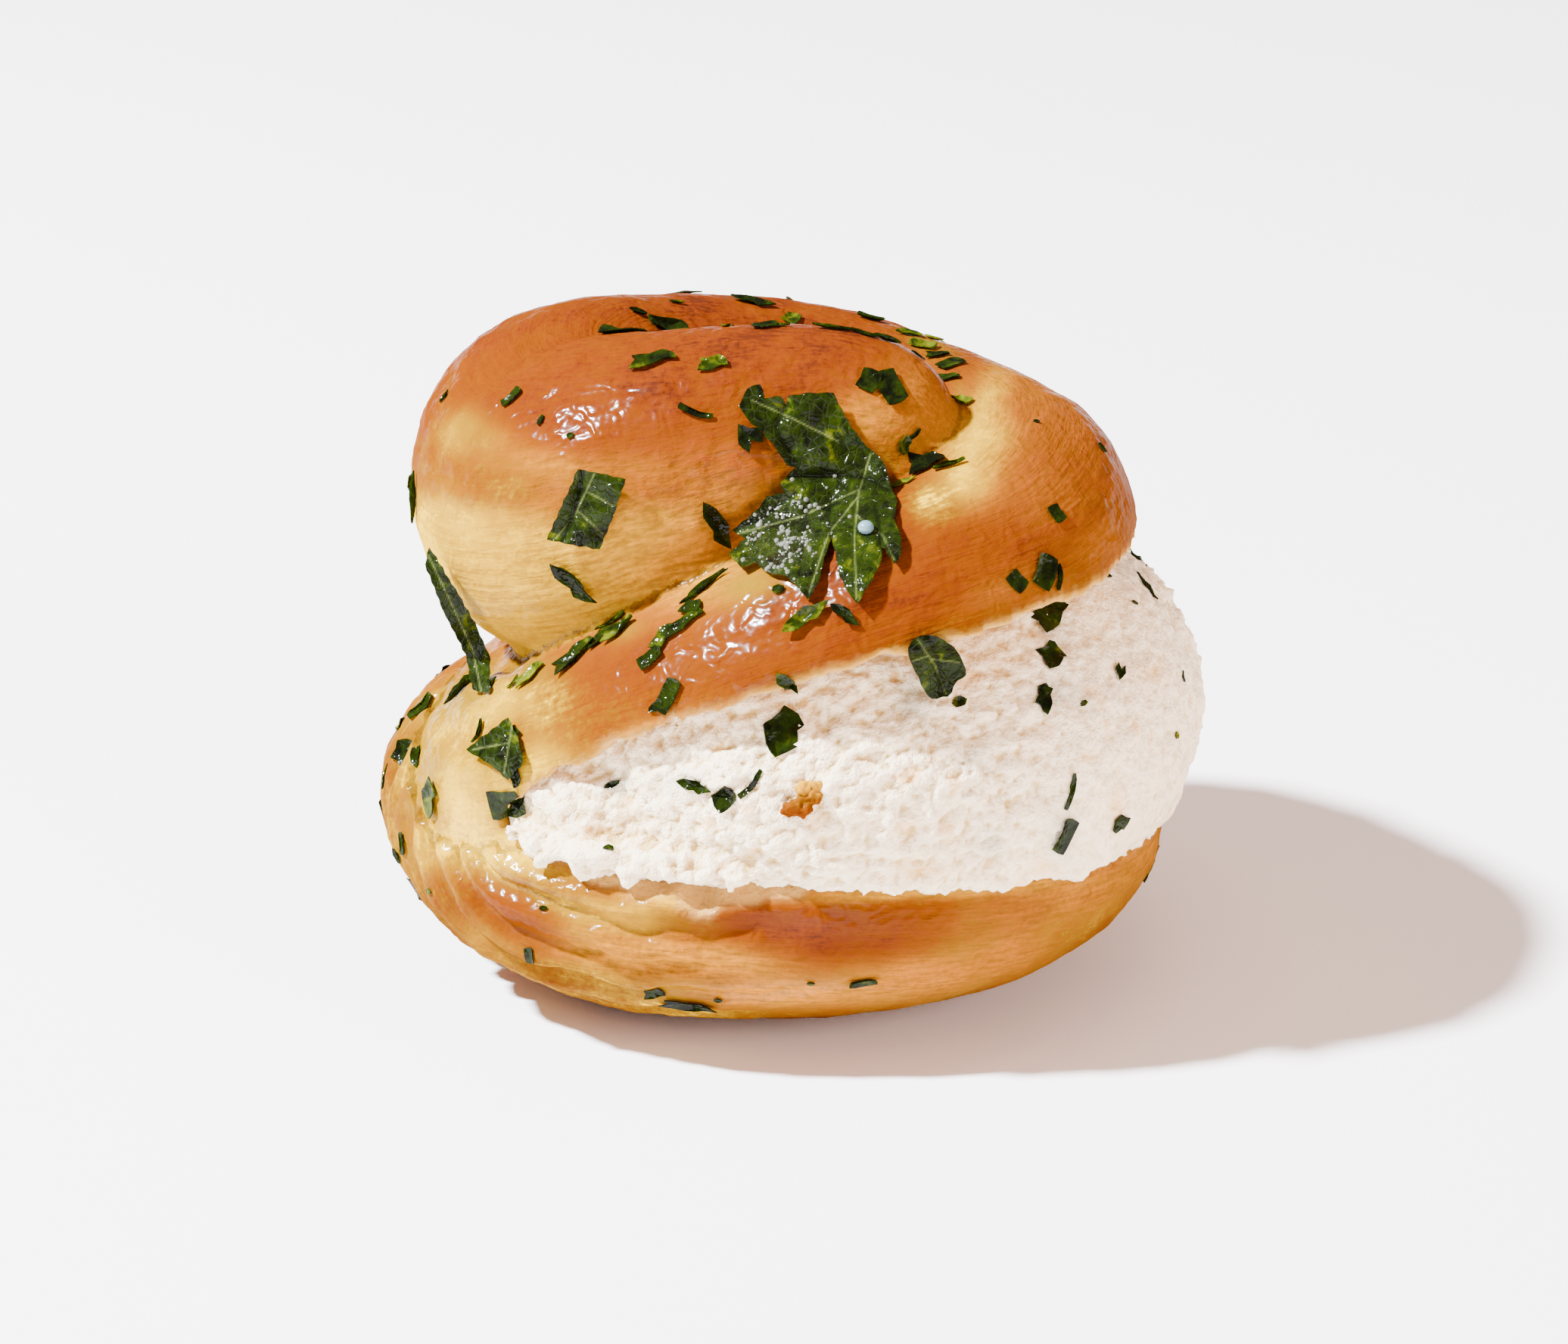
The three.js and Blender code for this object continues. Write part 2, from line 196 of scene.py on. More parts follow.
def movedAlong(tree, geometry, way, height):
    offset = addNode(tree, "ShaderNodeVectorMath", {0: way, "Scale": height}, operation="SCALE")
    return addNode(tree, "GeometryNodeSetPosition", {"Geometry": geometry, "Offset": offset})


def scatteredOn(tree, given, carrier, share):
    # Points spread over a piece by a share at each place
    return addNode(tree, "GeometryNodeDistributePointsOnFaces", {
        "Mesh": carrier, "Distance Min": given["Least Gap"], "Density Max": given["Density"], "Density Factor": share,
        "Seed": given["Seed"],
    }, distribute_method="POISSON")


def dressedIn(tree, geometry, material):
    dressed = addNode(tree, "GeometryNodeSetMaterial", {"Geometry": geometry, "Material": material})
    addNode(tree, "NodeGroupOutput", {"Geometry": dressed})
    return tree


def finishPiece(thing, name, materials, nodes=(), crisp=False):
    # Named, placed, scaled to metres and hung on the root body, hiding the nodes it stands for; a thin piece keeps
    # its edge crisp
    thing.name = name
    thing.data.name = name
    points = (pointsOf(thing.data) - np.array(middle)) * millimetre
    movePoints(thing.data, points)
    thing.data.materials.clear()
    for material in materials:
        thing.data.materials.append(material)
    thing.data.polygons.foreach_set("use_smooth", np.ones(len(thing.data.polygons), bool))
    if crisp:
        thing.data.set_sharp_from_angle(angle=crispFrom)
    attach(thing, "root")
    if nodes:
        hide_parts(*nodes)
    return thing


# One rope of dough, wound over a wide base, with a crown to fill the knot and a heel under its left end
dough = {
    "rope": [  # x, y, z and radius from the outer end, forward, round the right and back, to the inner tip
        (-20, 6, 18.5, 12), (-23, -12, 19.5, 11), (-11, -21, 28, 11), (3, -24, 36.3, 11),
        (15.5, -19.5, 41.3, 11.5), (18.5, -5, 43, 12), (12, 9, 44.3, 10.7), (1, 17, 44.6, 12),
        (-12, 13, 45.5, 13), (-20, 5, 46, 14), (-19.7, -3, 43.8, 14.6), (-12.5, -8, 47.6, 13.5),
        (-4, -9.5, 51, 11), (2, -10, 52.4, 9.6), (5.5, -10.5, 52.2, 9),
    ],
    "crown": {"at": (0, 1, 40), "half": (22, 17, 9), "power": 2},
    "base": {"at": (-1.4, -1, 14.5), "half": (35.6, 33.5, 16), "power": 2.2},
    "heel": {"at": (-21.5, -1, 15.3), "half": (16.5, 24, 13), "power": 2},
    "coarse": 0.7, "fine": 0.6,  # voxels before and after the slit is cut
}
slit = {
    "hingeX": -27, "skew": 0.08, "floor": 19.2, "fall": 0.045, "bow": 0.0022, "apex": 2.4, "apexOver": 3.5,
    "roof": 21, "rise": 25, "riseOver": 25, "torn": 1.05, "tornOver": 2.8,
}
notches = [  # torn out of the lower lip: x, then half sizes
    (-12.5, 3.4, 1.5, 1.8), (-8.2, 2.1, 1.9, 2.9), (-4.8, 3.3, 1.4, 1.5), (-1, 1.8, 1, 1.1), (-16.5, 2.2, 1, 1.2),
]
eye = {"aim": (-1.05, 0, 26.2), "down": 20, "away": 404}  # the photograph's viewpoint, in the layout


def slitFloor(x):
    s = slit
    return s["floor"] - s["fall"] * x - s["bow"] * x * x + s["apex"] * np.exp(-(x - s["hingeX"]) / s["apexOver"])


def slitRoof(x):
    return slit["roof"] + slit["rise"] * (1 - np.exp(-(x - slit["hingeX"]) / slit["riseOver"]))


def alongCurve(stations, per):
    # Points on a smooth curve through the stations
    p = np.array(stations, float)
    p = np.vstack([2 * p[0] - p[1], p, 2 * p[-1] - p[-2]])
    out = []
    for i in range(1, len(p) - 2):
        for t in np.arange(per) / per:
            a, b, c, d = p[i - 1 : i + 3]
            out.append(
                0.5 * (2 * b + (c - a) * t + (2 * a - 5 * b + 4 * c - d) * t**2 + (3 * b - a - 3 * c + d) * t**3)
            )
    out.append(p[-2])
    return np.array(out)


def ropeFrames(stations, per):
    curve = alongCurve(stations, per)
    centre, radius = curve[:, :3], curve[:, 3]
    ahead = np.gradient(centre, axis=0)
    ahead /= np.linalg.norm(ahead, axis=1)[:, None]
    side = np.cross(ahead, (0, 0, 1))
    side /= np.linalg.norm(side, axis=1)[:, None]
    over = np.cross(side, ahead)
    return centre, radius, ahead, side, over


def ropeObject(stations):
    centre, radius, ahead, side, over = ropeFrames(stations, 8)
    around, capRings = 40, 7
    rings = [(centre[0] - ahead[0] * radius[0] * math.sin(a), 0, radius[0] * math.cos(a))
             for a in np.linspace(math.pi / 2, 0, capRings, endpoint=False)[1:]]
    rings += [(centre[i], i, radius[i]) for i in range(len(centre))]
    last = len(centre) - 1
    rings += [(centre[last] + ahead[last] * radius[last] * math.sin(a), last, radius[last] * math.cos(a))
              for a in np.linspace(0, math.pi / 2, capRings, endpoint=False)[1:]]
    turns = np.linspace(0, 2 * math.pi, around, endpoint=False)
    points = []
    for at, i, size in rings:
        points += [at + size * (math.cos(a) * side[i] + math.sin(a) * over[i]) for a in turns]
    faces = []
    for r in range(len(rings) - 1):
        for j in range(around):
            k = (j + 1) % around
            faces.append((r * around + j, r * around + k, (r + 1) * around + k, (r + 1) * around + j))
    points += [centre[0] - ahead[0] * radius[0], centre[last] + ahead[last] * radius[last]]
    end = len(rings) * around
    top = (len(rings) - 1) * around
    faces += [(end, (j + 1) % around, j) for j in range(around)]
    faces += [(end + 1, top + j, top + (j + 1) % around) for j in range(around)]
    return meshObject("rope", points, faces)


def massObject(mass, across, below=None):
    rows, columns = across // 2, across
    points, faces = [], []
    for i in range(1, rows):
        polar = math.pi * i / rows
        for j in range(columns):
            turn = 2 * math.pi * j / columns
            points.append((math.sin(polar) * math.cos(turn), math.sin(polar) * math.sin(turn), math.cos(polar)))
    points += [(0, 0, 1), (0, 0, -1)]
    for i in range(rows - 2):
        for j in range(columns):
            k = (j + 1) % columns
            faces.append((i * columns + j, (i + 1) * columns + j, (i + 1) * columns + k, i * columns + k))
    north, south = len(points) - 2, len(points) - 1
    faces += [(north, j, (j + 1) % columns) for j in range(columns)]
    faces += [(south, (rows - 2) * columns + (j + 1) % columns, (rows - 2) * columns + j) for j in range(columns)]
    p = np.array(points)
    p /= (np.sum(np.abs(p) ** mass["power"], axis=1) ** (1 / mass["power"]))[:, None]
    tall = np.where(p[:, 2] > 0, mass["half"][2], below or mass["half"][2])
    wide, deep = [np.full(len(p), half) for half in mass["half"][:2]]
    p = np.array(mass["at"]) + p * np.column_stack([wide, deep, tall])
    p[:, 2] = np.maximum(p[:, 2], 0)
    return meshObject("mass", p, faces)


def tornBy(x, y, seed):
    # How far the crumb tore away from the slit's even curve
    at = Vector((x, y, seed)) / slit["tornOver"]
    return slit["torn"] * (noise.noise(at) + 0.5 * noise.noise(at * 2.7))


def slitObject(gap):
    # The space between the two halves, drawn in by a gap on both faces
    columns, rows, reach = 110, 125, 80
    points, faces = [], []
    for i in range(columns + 1):
        flat = slit["hingeX"] + reach * (i / columns) ** 1.6
        for j in range(rows + 1):
            y = -50 + 100 * j / rows
            x = flat + (y + 26) * slit["skew"]
            points.append((x, y, slitFloor(flat) + gap + tornBy(x, y, 3)))
            points.append((x, y, slitRoof(flat) - gap + tornBy(x, y, 40)))

    def at(i, j, high):
        return 2 * (i * (rows + 1) + j) + high

    for i in range(columns):
        for j in range(rows):
            faces.append((at(i, j, 0), at(i, j + 1, 0), at(i + 1, j + 1, 0), at(i + 1, j, 0)))
            faces.append((at(i, j, 1), at(i + 1, j, 1), at(i + 1, j + 1, 1), at(i, j + 1, 1)))
    for i in range(columns):
        faces.append((at(i, 0, 0), at(i + 1, 0, 0), at(i + 1, 0, 1), at(i, 0, 1)))
        faces.append((at(i, rows, 0), at(i, rows, 1), at(i + 1, rows, 1), at(i + 1, rows, 0)))
    for j in range(rows):
        faces.append((at(0, j, 0), at(0, j, 1), at(0, j + 1, 1), at(0, j + 1, 0)))
        faces.append((at(columns, j, 0), at(columns, j + 1, 0), at(columns, j + 1, 1), at(columns, j, 1)))
    return meshObject("slit", points, faces)


def cutBy(thing, tool, operation):
    withModifier(thing, "BOOLEAN", operation=operation, object=tool, solver="MANIFOLD")
    bpy.data.objects.remove(tool)
    return thing


def lipPoints():
    # The outer edge of the slit's lower face, all the way round
    base, power = dough["base"], dough["base"]["power"]
    found = []
    for turn in np.radians(np.arange(-133, 134, 1.0)):
        reach = 30.0
        for _ in range(6):
            x = base["at"][0] + reach * math.cos(turn)
            y = base["at"][1] + reach * math.sin(turn)
            z = float(slitFloor(x - (y + 26) * slit["skew"]))
            flat = max(1 - (abs(z - base["at"][2]) / base["half"][2]) ** power, 0.01) ** (1 / power)
            c, s = abs(math.cos(turn)) / base["half"][0], abs(math.sin(turn)) / base["half"][1]
            reach = flat * (c**power + s**power) ** (-1 / power)
        found.append((x, y, z))
    return np.array(found)


def slitDepth(points):
    # Height above the slit's floor and below its roof
    flat = points[:, 0] - (points[:, 1] + 26) * slit["skew"]
    return points[:, 2] - slitFloor(flat), slitRoof(flat) - points[:, 2], flat


def notchMasses():
    # The torn places, set on the lip
    lip = lipPoints()
    front = lip[lip[:, 1] < 0]
    masses = []
    for x, *half in notches:
        at = front[np.abs(front[:, 0] - x).argmin()]
        masses.append({"at": (at[0], at[1] - 0.3, at[2]), "half": half, "power": 2})
    return masses


def shapeBun():
    bun = joinAll([
        ropeObject(dough["rope"]),
        massObject(dough["crown"], 48),
        massObject(dough["base"], 96),
        massObject(dough["heel"], 64),
    ])
    withModifier(bun, "REMESH", mode="VOXEL", voxel_size=dough["coarse"])
    withModifier(bun, "SMOOTH", factor=0.5, iterations=3)
    cutBy(bun, slitObject(0), "DIFFERENCE")
    for notch in notchMasses():
        cutBy(bun, massObject(notch, 32), "DIFFERENCE")
    withModifier(bun, "REMESH", mode="VOXEL", voxel_size=dough["fine"])
    withModifier(bun, "SMOOTH", factor=0.4, iterations=2)
    return bun


bun = shapeBun()
print("dough shaped:", len(bun.data.vertices), "points")


def newMaterial(name):
    material = bpy.data.materials.new(name)
    material.use_nodes = True
    material.node_tree.nodes.clear()
    return material, material.node_tree


def surfaced(material, inputs):
    surface = addNode(material.node_tree, "ShaderNodeBsdfPrincipled", inputs)
    addNode(material.node_tree, "ShaderNodeOutputMaterial", {"Surface": surface})
    return material


def carriedBy(tree, *names):
    # Values that the mesh carries at its points
    return [addNode(tree, "ShaderNodeAttribute", attribute_name=name).outputs["Fac"] for name in names]


def grainsOf(tree, sizes):
    # The place in the piece, and a noise there for each pattern by its size in millimetres, detail, roughness
    # and distortion
    place = addNode(tree, "ShaderNodeTexCoord").outputs["Object"]
    return place, {name: addNode(tree, "ShaderNodeTexNoise", {
        "Vector": place, "Scale": 1000 / size, "Detail": detail, "Roughness": rough, "Distortion": distortion,
    }) for name, (size, detail, rough, distortion) in sizes.items()}


def layered(tree, colour, *layers):
    # Lays colours over the first, each by its share
    for share, over in layers:
        inputs = {0: share, 6: colour, 7: over}
        colour = addNode(tree, "ShaderNodeMix", inputs, data_type="RGBA", clamp_factor=True).outputs[2]
    return colour


def bumped(tree, *layers):
    # Bumps on bumps, each with its height, strength and depth in millimetres
    under = {}
    for height, strength, deep in layers:
        inputs = {"Strength": strength, "Distance": deep * millimetre, "Height": height, **under}
        under = {"Normal": addNode(tree, "ShaderNodeBump", inputs)}
    return under["Normal"]


def toned(tree, shade, tones):
    # The colour of each shade, between tones at their places
    ramp = addNode(tree, "ShaderNodeValToRGB", {0: shade})
    while len(ramp.color_ramp.elements) < len(tones):
        ramp.color_ramp.elements.new(0.5)
    for element, (at, colour) in zip(ramp.color_ramp.elements, tones):
        element.position = at
        element.color = linear(colour)
    return ramp.outputs[0]


# Egg-glazed wheat crust, brushed with oil after baking: amber to red-brown where it caught the heat, cream
# where the strands sheltered each other, with fine fibres along the pull of the dough and a wet gloss; some
# places carry painted light and painted shade as well
crustLook = {
    "tones": [(0.0, "#cca208"), (0.14, "#856101"), (0.32, "#673f01"), (0.52, "#602d01"), (0.7, "#5d2903"),
              (0.86, "#592306"), (1.0, "#3f190b")],
    # The warm stretched colour is also painted light on the right shoulder and the base's underside
    "stretched": "#f0c608", "stretchedWarmAndPaintedLight": "#d86c20", "stretchedDark": "#8c600a",
    "oil": "#745601", "crumb": "#b88e4c",
    "roughness": 0.7, "coat": 0.03, "wetCoat": 0.47, "coatRoughness": 0.15,
    "fibreTone": 0.5, "patchTone": 0.85, "poreTone": 0.4, "warmth": 1.3, "stretchedShare": 0.75,
    "streakFrom": 0.32, "streakTone": 2.3, "streakPore": 1.2, "fibreLong": 3.0, "fibreWide": 0.42, "beadSize": 1.3,
    "grains": {
        "patch": (7, 4, 0.6, 0), "pore": (0.55, 2, 0.6, 0), "pucker": (1.9, 1, 0.6, 0.8), "crumb": (1.4, 3, 0.6, 0),
        "glint": (1.1, 0, 0.6, 0), "film": (0.55, 0, 0.6, 0),
    },
}


def crustMaterial():
    look = crustLook
    material, tree = newMaterial("oiledBreadCrust")
    tone, tan, cut, wet, oil = carriedBy(tree, "tone", "tan", "cutFace", "wet", "oil")
    place, grain = grainsOf(tree, look["grains"])
    strand = addNode(tree, "ShaderNodeAttribute", attribute_name="strandRun").outputs["Vector"]
    scale = (1 / look["fibreLong"], 1 / look["fibreWide"], 1 / look["fibreWide"])
    run = addNode(tree, "ShaderNodeMapping", {"Vector": strand, "Scale": scale}, vector_type="POINT")
    fibre = addNode(tree, "ShaderNodeTexNoise", {"Vector": run, "Scale": 1, "Detail": 3, "Roughness": 0.6})
    shade = total(tone, around(fibre, look["fibreTone"]), around(grain["patch"], look["patchTone"]),
                  around(grain["pore"], look["poreTone"]))
    streak = ("MULTIPLY", ("SUBTRACT", fibre, look["streakFrom"]), look["streakTone"])
    streak = total(streak, around(grain["pore"], look["streakPore"]))
    stretched = layered(tree, look["stretched"], (("MULTIPLY", tone, look["warmth"]), look["stretchedWarmAndPaintedLight"]))
    stretched = layered(tree, look["stretchedDark"], (streak, stretched))
    colour = layered(tree, toned(tree, shade, look["tones"]),
    (("MULTIPLY", tan, look["stretchedShare"]), stretched),
                     (oil, look["oil"]), (cut, look["crumb"]))
    beads = addNode(tree, "ShaderNodeTexVoronoi", {"Vector": place, "Scale": 1000 / look["beadSize"]})
    dome = addNode(tree, "ShaderNodeMapRange", {0: beads, 1: 0, 2: 0.32, 3: 1, 4: 0})
    porous = ("ADD", 0.6, ("MULTIPLY", cut, 0.4))
    coat = ("ADD", look["coat"], ("MULTIPLY", wet, look["wetCoat"]))
    return surfaced(material, {
        "Base Color": colour, "Roughness": ("ADD", look["roughness"], ("MULTIPLY", cut, 0.3)), "IOR": 1.46,
        "Specular IOR Level": 0, "Subsurface Weight": 0.1, "Subsurface Radius": (1, 0.4, 0.1),
        "Subsurface Scale": 0.0015, "Coat Weight": ("MULTIPLY", coat, ("SUBTRACT", 1, cut)), "Coat IOR": 1.42,
        "Coat Roughness": look["coatRoughness"],
        "Normal": bumped(tree, (fibre, 0.8, 0.2), (grain["pucker"], 0.8, 0.34), (grain["pore"], porous, 0.13),
                         (grain["crumb"], cut, 0.7)),
        "Coat Normal": bumped(tree, (grain["pucker"], 0.8, 0.32), (dome, ("MULTIPLY", wet, 0.8), 0.05),
                              (grain["glint"], 0.8, 0.11), (grain["film"], 0.8, 0.03)),
    })


# Fresh flat-leaf parsley, chopped and wet with oil: near-black green in painted shade where one lobe lies over
# the next, yellow-green where the light comes through a cut edge, paler veins, and a sharp wet gloss
parsleyLook = {
    "dark": "#080b04", "middle": "#182305", "light": "#565c0a", "vein": "#6f7a42",
    "netSize": 0.9, "bubbleSize": 0.55, "roughness": 0.5, "coat": 0.28, "leafCoat": 0.18, "frothCoat": 0.8,
    "grains": {"mottle": (1.5, 3, 0.5, 0.8), "cells": (0.5, 1, 0.5, 0), "broad": (5, 1, 0.5, 0)},
}


def parsleyMaterial(name, whole):
    look = parsleyLook
    material, tree = newMaterial(name)
    yellow, vein, froth, crease = carriedBy(tree, "yellow", "vein", "froth", "crease")
    place, grain = grainsOf(tree, look["grains"])
    shade = total(around(grain["mottle"], 1.7), ("MULTIPLY", grain["broad"], 0.62) if whole else yellow)
    colour = toned(tree, shade, [(0, look["dark"]), (0.5, look["middle"]), (1, look["light"])])
    height, wet = grain["cells"], look["coat"]
    if whole:
        net = addNode(tree, "ShaderNodeTexVoronoi", {"Vector": place, "Scale": 1000 / look["netSize"]},
                      feature="DISTANCE_TO_EDGE")
        thread = addNode(tree, "ShaderNodeMapRange", {0: net, 1: 0, 2: 0.09, 3: 1, 4: 0})
        bubbles = addNode(tree, "ShaderNodeTexVoronoi", {"Vector": place, "Scale": 1000 / look["bubbleSize"]})
        domes = addNode(tree, "ShaderNodeMapRange", {0: bubbles, 1: 0, 2: 0.5, 3: 2, 4: 0})
        faint = ("MULTIPLY", vein, ("SUBTRACT", grain["mottle"], 0.14))
        faint = ("MAXIMUM", faint, ("MULTIPLY", thread, 0.03))
        # Paler veins, and painted shade along the lines where one lobe lies over the next
        colour = layered(tree, colour, (faint, look["vein"]), (("MULTIPLY", crease, 0.85), look["dark"]))
        ribs = ("ADD", ("MULTIPLY", vein, 0.6), ("MULTIPLY", thread, 0.35))
        height = ("ADD", ("SUBTRACT", height, ribs), ("MULTIPLY", domes, froth))
        wet = ("ADD", look["leafCoat"], ("MULTIPLY", froth, look["frothCoat"]))
    bump = bumped(tree, (height, 0.8, 0.22))
    return surfaced(material, {
        "Base Color": colour, "Roughness": look["roughness"], "IOR": 1.42, "Specular IOR Level": 0,
        "Coat Weight": wet, "Coat Roughness": 0.07, "Coat IOR": 1.42, "Subsurface Weight": 0.05,
        "Subsurface Radius": (0.3, 0.8, 0.1), "Subsurface Scale": 0.0005, "Normal": bump, "Coat Normal": bump,
    })


# Fresh whey cheese: moist warm white, a little see-through, with painted shade: darker and warmer down between
# the curds and in the dips of the fine bump; painted shadows of the flakes, and a few faint specks of oil
ricottaLook = {
    # "low" is the colour of the painted shade between the curds, "whey" the colour of the painted flake shadows
    "high": "#fae8c6", "low": "#c8a866", "speck": "#e8b060", "whey": "#aab0a4", "roughness": 0.55,
    "grains": {"cloud": (6, 3, 0.5, 0), "speck": (2.6, 1, 0.5, 0), "fine": (0.5, 2, 0.6, 0)},
}


def ricottaMaterial():
    look = ricottaLook
    material, tree = newMaterial("freshRicotta")
    hollow, golden, green = carriedBy(tree, "hollow", "golden", "greenWhey")
    place, grain = grainsOf(tree, look["grains"])
    # Painted shade: darker and warmer where the surface sits hollow and in the dips of the fine bump
    deep = addNode(tree, "ShaderNodeMapRange", {0: hollow, 1: 0.42, 2: 0.95, 3: 0, 4: 0.9})
    deep = total(deep, ("MULTIPLY", ("SUBTRACT", grain["cloud"], 0.45), 0.35), around(grain["fine"], -0.9))
    dots = addNode(tree, "ShaderNodeMapRange", {0: grain["speck"], 1: 0.65, 2: 0.74, 3: 0, 4: 0.5})
    dotted = ("MAXIMUM", dots, ("MULTIPLY", golden, 0.6))
    return surfaced(material, {
        # The white with its painted shade, the oil specks, and the grey-green painted shadows of the flakes
        "Base Color": layered(tree, look["high"], (deep, look["low"]), (dotted, look["speck"]),
                              (("MULTIPLY", green, grain["cloud"]), look["whey"])),
        "Roughness": look["roughness"], "IOR": 1.4, "Specular IOR Level": 0.2, "Subsurface Weight": 0.06,
        "Subsurface Radius": (1, 0.8, 0.6), "Subsurface Scale": 0.0012,
        "Normal": bumped(tree, (grain["fine"], 0.9, 0.4)),
    })


# The skin's relief, in millimetres: lumps, streaks along the strand, folds, wrinkles and torn crumb
relief = {
    "Lump Size": 7.0, "Lump Height": 0.9,
    "Streak Length": 9.0, "Streak Width": 1.7, "Streak Height": 0.34,
    "Fold Spacing": 3.5, "Fold Height": 1.3,
    "Wrinkle Size": 2.4, "Wrinkle Height": 0.75,
    "Crumb Size": 1.3, "Crumb Height": 0.8,
}

lookDown = math.radians(eye["down"])
sightAhead = np.array((0, math.cos(lookDown), -math.sin(lookDown)))
sightUp = np.array((0, math.sin(lookDown), math.cos(lookDown)))
eyeAt = np.array(eye["aim"]) - sightAhead * eye["away"]


def sightTo(across, up):
    toward = np.array(eye["aim"]) + np.array((across, 0, 0)) + sightUp * up - eyeAt
    return toward / np.linalg.norm(toward)


def treeOf(*things):
    return BVHTree.FromPolygons(*gathered(things))


def seenAt(tree, across, up):
    return tree.ray_cast(Vector(eyeAt), Vector(sightTo(across, up)))[:2]


def skinRun(points):
    # For each point: whether it lies on the rope, its place along and across the strand, and the station
    centre, radius, ahead, side, over = ropeFrames(dough["rope"], 24)
    length = np.concatenate([[0], np.cumsum(np.linalg.norm(np.diff(centre, axis=0), axis=1))])
    lip = lipPoints()
    lipLength = np.concatenate([[0], np.cumsum(np.linalg.norm(np.diff(lip, axis=0), axis=1))])
    strand = np.zeros((len(points), 3))
    station = np.zeros(len(points))
    onRope = np.zeros(len(points), bool)
    belowLip = np.zeros(len(points))
    batch = 8000  # points at a time, to save memory
    for first in range(0, len(points), batch):
        p = points[first : first + batch]
        away = np.linalg.norm(p[:, None, :] - centre[None], axis=2) - radius[None]
        near = away.argmin(axis=1)
        offset = p - centre[near]
        toLip = np.linalg.norm(p[:, None, :] - lip[None], axis=2)
        lipNear = toLip.argmin(axis=1)
        rope = away[np.arange(len(p)), near] < 0.55
        a = np.column_stack([
            length[near] + (offset * ahead[near]).sum(axis=1),
            (offset * side[near]).sum(axis=1),
            (offset * over[near]).sum(axis=1),
        ])
        b = np.column_stack([lipLength[lipNear] + 300, toLip.min(axis=1), np.zeros(len(p))])
        rows = slice(first, first + len(p))
        strand[rows] = np.where(rope[:, None], a, b)
        station[rows] = near / 24
        onRope[rows] = rope
        belowLip[rows] = toLip.min(axis=1)
    return strand, station, onRope, belowLip


def cutMask(points, normals):
    aboveFloor, belowRoof, flat = slitDepth(points)
    floor = (np.abs(aboveFloor) < 0.9) & (normals[:, 2] > 0.75)
    roof = (np.abs(belowRoof) < 0.9) & (normals[:, 2] < -0.5)
    cut = (floor | roof) & (flat > slit["hingeX"])
    for notch in notchMasses():
        cut |= (((points - np.array(notch["at"])) / (np.array(notch["half"]) + 0.35)) ** 2).sum(axis=1) < 1
    return cut.astype(float)


def edgesOf(mesh):
    pairs = np.empty(len(mesh.edges) * 2, np.int32)
    mesh.edges.foreach_get("vertices", pairs)
    return pairs.reshape(-1, 2)


def smoothed(values, edges, times):
    # Averages values over neighbouring points
    values = values.astype(float).copy()
    count = np.bincount(edges.ravel(), minlength=len(values))
    columns = values.reshape(len(values), -1)
    for _ in range(times):
        for c in range(columns.shape[1]):
            total = np.bincount(edges[:, 0], columns[edges[:, 1], c], len(values))
            total += np.bincount(edges[:, 1], columns[edges[:, 0], c], len(values))
            columns[:, c] = 0.5 * columns[:, c] + 0.5 * total / np.maximum(count, 1)
    return values


def reliefTree():
    # Pushes the skin in and out along its normals: lumps, streaks along the strand, folds and torn crumb
    tree, given = geometryTree("doughRelief", relief)
    place = addNode(tree, "GeometryNodeInputPosition")
    strand = namedIn(tree, "FLOAT_VECTOR", "strand")["strand"]
    mask = namedIn(tree, "FLOAT", "folded", "wrinkled", "cut")
    across = addNode(tree, "ShaderNodeSeparateXYZ", {0: strand}).outputs[1]
    streak = {0: given["Streak Length"], 1: given["Streak Width"], 2: given["Streak Width"]}
    streak = addNode(tree, "ShaderNodeCombineXYZ", streak)
    run = addNode(tree, "ShaderNodeVectorMath", {0: strand, 1: streak}, operation="DIVIDE")
    lump, fine, sway, crease, torn = [
        addNode(tree, "ShaderNodeTexNoise", {"Vector": at, "Scale": ("DIVIDE", 1.0, size), "Detail": detail,
                "Roughness": rough}, noise_dimensions="3D")
        for at, size, detail, rough in [
            (place, given["Lump Size"], 2, 0.5), (run, 1, 3, 0.6), (place, 10, 2, 0.5),
            (place, given["Wrinkle Size"], 2, 0.55), (place, given["Crumb Size"], 4, 0.65),
        ]
    ]
    turn = ("DIVIDE", ("MULTIPLY", across, 6.2832), given["Fold Spacing"])
    turn = ("MULTIPLY", ("ADD", turn, ("MULTIPLY", sway, 9)), 0.5)
    ridge = ("POWER", ("ABSOLUTE", ("SINE", turn)), 1.5)
    skin = total(
        around(lump, given["Lump Height"]), around(fine, given["Streak Height"]),
        ("MULTIPLY", around(ridge, given["Fold Height"]), mask["folded"]),
        ("MULTIPLY", around(crease, given["Wrinkle Height"]), mask["wrinkled"]),
    )
    skin = ("MULTIPLY", skin, ("SUBTRACT", 1.0, mask["cut"]))
    crumbs = ("MULTIPLY", around(torn, given["Crumb Height"]), mask["cut"])
    normal = addNode(tree, "GeometryNodeInputNormal")
    moved = movedAlong(tree, given["Geometry"], normal, ("ADD", skin, crumbs))
    addNode(tree, "NodeGroupOutput", {"Geometry": moved})
    return tree
